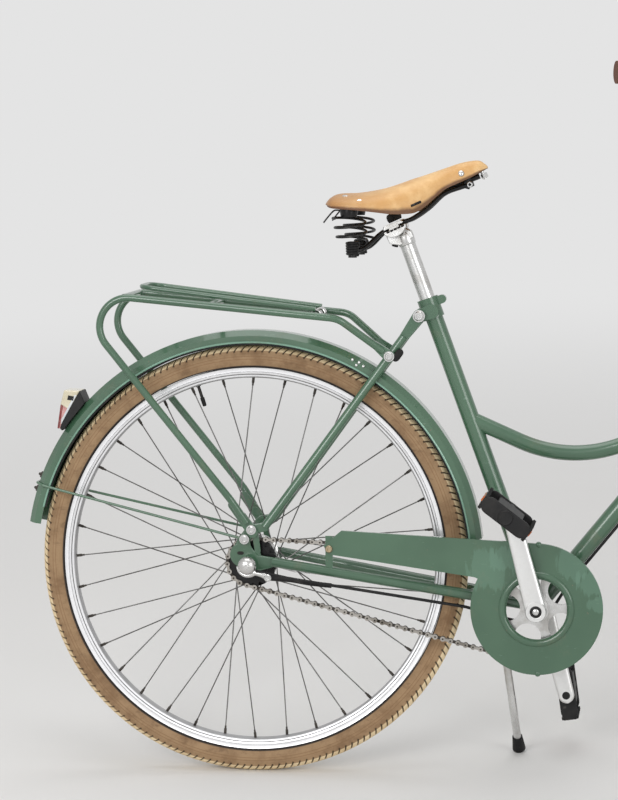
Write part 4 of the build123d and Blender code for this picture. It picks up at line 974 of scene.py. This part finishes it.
for name, node, finish, corners, half in tailLamp:
    outline = guardRadius * lampOut + np.array([a * lampAlong + b * lampOut for a, b in corners])
    addPiece(
        name, [prism(outline, -half, half)], "frame", slotHere.get(finish, finish), finishes[finish],
        [node] if node else (), bevel=0 if name in ("tailLampShade", "tailLampRibs") else 1.4,
    )
bumper = {"spot": carrierBolt + np.array([13.5, 0, 1.5]), "half": 6, "low": -42, "high": -28}
stayRun = unit((stayNeck - stayFoot) * [1, 0, 1])
bumperEnds = [(bumper["spot"] + end * stayRun)[[0, 2]] for end in (-5, 5)]
rubber = bar(*bumperEnds, bumper["half"], bumper["half"], bumper["low"], bumper["high"])
addSlotPiece("carrierBumper", [rubber], "frame", "black_rubber")

# Front end: lamp glass and bezel, ribbed grips, stem bolts

glassLow, glassHigh = span("head_lamp_lens")
headLamp = {"back": glassLow[0], "radius": (glassHigh[2] - glassLow[2]) / 2, "bulge": 6, "ripple": 0.5, "rings": 6}
lampSpot = (0, 0, (glassLow[2] + glassHigh[2]) / 2)
reach = np.linspace(1, 0, 49)
# the glass bulges by a parabola of its radius, with rings that ripple by a cosine
bulge = headLamp["back"] + 6 + headLamp["bulge"] * (1 - reach**2)
bulge = bulge + headLamp["ripple"] * np.cos(reach * headLamp["rings"] * 2 * np.pi)
glass = np.stack([bulge, reach * headLamp["radius"]], -1)
glass = np.vstack([[(headLamp["back"], 0), (headLamp["back"], headLamp["radius"])], glass])
glass = turned(glass, lampSpot, (1, 0, 0))
addSlotPiece("headLampGlass", [glass], "steering", slotOf["head_lamp_lens"], ["head_lamp_lens"])
ring = circle(1, 12) * [5, 2.2] + np.array([headLamp["back"] + 3.5, headLamp["radius"] + 1.2])
addSlotPiece("headLampBezel", [turned(ring, lampSpot, (1, 0, 0), loop=True)], "steering", "bright_steel")

gripSpots = nodePoints("grips")
grip = {"ribs": 24, "rise": 0.9, "collar": 1.4, "steps": 192}
handles = []
for side in (-1, 1):
    places = gripSpots[gripSpots[:, 1] * side > 0]
    middle = (places.min(0) + places.max(0)) / 2
    run = np.linalg.svd(places - places.mean(0), full_matrices=False)[2][0]
    run = run * np.sign(run[1] * side)
    along = (places - middle) @ run
    radius = np.linalg.norm(places - middle - along[:, None] * run, axis=1).max()
    share = np.linspace(0, 1, grip["steps"])
    # the sleeve's radius ripples by a cosine along it, between a plain collar at each end
    plain = np.clip(np.minimum(share, 1 - share) * 14, 0, 1)
    ripple = grip["rise"] * (1 - np.cos(share * grip["ribs"] * 2 * np.pi)) / 2
    ripple = radius - ripple * (plain == 1) + grip["collar"] * (plain < 1)
    sleeve = np.stack([along.min() + share * np.ptp(along), ripple], -1)
    ends = [(along.min(), 0), (along.max(), 0)]
    handles.append(turned(np.vstack([ends[:1], sleeve, ends[1:]]), middle, run, 32))
addSlotPiece("gripRibs", handles, "steering", slotOf["grips"], ["grips"])

steerAxis = bikeAxes @ np.array(joints["steering_turn"]["axis"])
steerSpot = toBike(joints["steering_turn"]["pos_m"])
barSpots = nodePoints("handlebar")
barSpots = barSpots[np.abs(barSpots[:, 1]) < 60]
barMiddle = (barSpots.min(0) + barSpots.max(0)) / 2 * [1, 0, 1]
stemLow, stemHigh = span("stem")
stemTop = steerSpot + steerAxis * ((stemLow[0] + 11 - steerSpot[0]) / steerAxis[0])
clampReach = stemHigh[0] - barMiddle[0]
stemBolts = [hexNut(stemTop + steerAxis * 10, steerAxis, 8, 6)]
for y in (-13, 13):
    stemBolts.append(socketBolt(barMiddle + np.array([clampReach - 1, y, 0]), (1, 0, 0), 5, 4))
addSlotPiece("stemBolts", stemBolts, "steering", "bright_steel")
print("trim")

# Camera, floor and light

view = {
    "distance": 5000, "yaw": 7.13, "pitch": 5.02, "roll": -0.22, "focal": 3052, "tall": 800, "aim": (91, 0, 262.5),
}
yaw, pitch, roll = (np.radians(view[key]) for key in ("yaw", "pitch", "roll"))
look = np.array([-np.sin(yaw) * np.cos(pitch), np.cos(yaw) * np.cos(pitch), -np.sin(pitch)])
right = unit(np.cross(look, (0, 0, 1)))
up = np.cross(right, look)
right, up = np.cos(roll) * right + np.sin(roll) * up, np.cos(roll) * up - np.sin(roll) * right
camera = bpy.data.objects.new("camera", bpy.data.cameras.new("camera"))
camera.data.lens = view["focal"] / view["tall"] * camera.data.sensor_width
camera.data.clip_end = 100
pose = np.eye(4)
pose[:3, :3] = (np.array([right, up, -look]) @ bikeAxes).T
pose[:3, 3] = toWorld(np.array(view["aim"]) - view["distance"] * look)
camera.matrix_world = Matrix(pose.tolist())
scene.collection.objects.link(camera)
scene.camera = camera


def seenRay(wire):
    # one for what the camera sees, straight or in metal and glass
    rays = 0.0
    for kind in ("Is Camera Ray", "Is Glossy Ray", "Is Transmission Ray"):
        rays = wire.node("ShaderNodeLightPath", {}, {}, kind) + rays
    return wire.math("MINIMUM", rays, 1)


floorSpan = 40
mesh = bpy.data.meshes.new("floor")
corners = [(a * floorSpan, b * floorSpan, 0) for a, b in ((-1, -1), (1, -1), (1, 1), (-1, 1))]
mesh.from_pydata(corners, [], [(0, 1, 2, 3)])
floor = bpy.data.objects.new("floor", mesh)
scene.collection.objects.link(floor)
floorPaint, place = newFinish("floorPaint")
shade = noise(place, 1.2, 3)
setFinish(floorPaint, {
    "Base Color": mix(shade, tint(224, 223, 221), tint(229, 228, 227)), "Roughness": 0.75 + shade * 0.1,
    "Normal": bump(noise(place, 90, 4), 0.05, 0.0005)})
tree = floorPaint.node_tree
away = place.node("ShaderNodeVectorMath", {"operation": "LENGTH"}, {0: place}, "Value")
glow = place.node("ShaderNodeEmission", {}, {"Color": tint(228, 228, 228)})
body = Wire(tree, tree.nodes["Principled BSDF"].outputs[0])
blend = place.node("ShaderNodeMixShader", {}, {0: step(away, 1.1, 4.5) * seenRay(place), 1: body, 2: glow})
tree.links.new(blend.socket, tree.nodes["Material Output"].inputs[0])
mesh.materials.append(floorPaint)

world = bpy.data.worlds.new("studio")
scene.world = world
world.use_nodes = True
tree = world.node_tree
backdrop = tree.nodes["Background"]
backdrop.inputs["Color"].default_value = tint(232, 232, 232)
backdrop.inputs["Strength"].default_value = 0.6
sky = Wire(tree, backdrop.outputs[0])
mirrored = sky.node("ShaderNodeBackground", {}, {"Color": tint(228, 228, 228), "Strength": 1})
blend = sky.node("ShaderNodeMixShader", {}, {0: seenRay(sky), 1: sky, 2: mirrored})
tree.links.new(blend.socket, tree.nodes["World Output"].inputs[0])


def addLamp(name, spot, target, size, power):
    lamp = bpy.data.objects.new(name, bpy.data.lights.new(name, "AREA"))
    lamp.data.size = size
    lamp.data.energy = power
    aim = unit(np.array(target, float) - np.array(spot, float))
    side = unit(np.cross(aim, (0, 0, 1)))
    turnTo = np.eye(4)
    turnTo[:3, :3] = np.array([side, np.cross(side, aim), -aim]).T
    turnTo[:3, 3] = spot
    lamp.matrix_world = Matrix(turnTo.tolist())
    scene.collection.objects.link(lamp)


addLamp("topLamp", (-0.4, 0.4, 4.2), (-0.3, 0, 0.4), 3.2, 60)
addLamp("keyLamp", (-1.9, -4.2, 2.6), (-0.2, 0, 0.5), 2.2, 90)
addLamp("fillLamp", (3.0, -3.4, 2.0), (0, 0, 0.5), 2.2, 50)
print("stage")
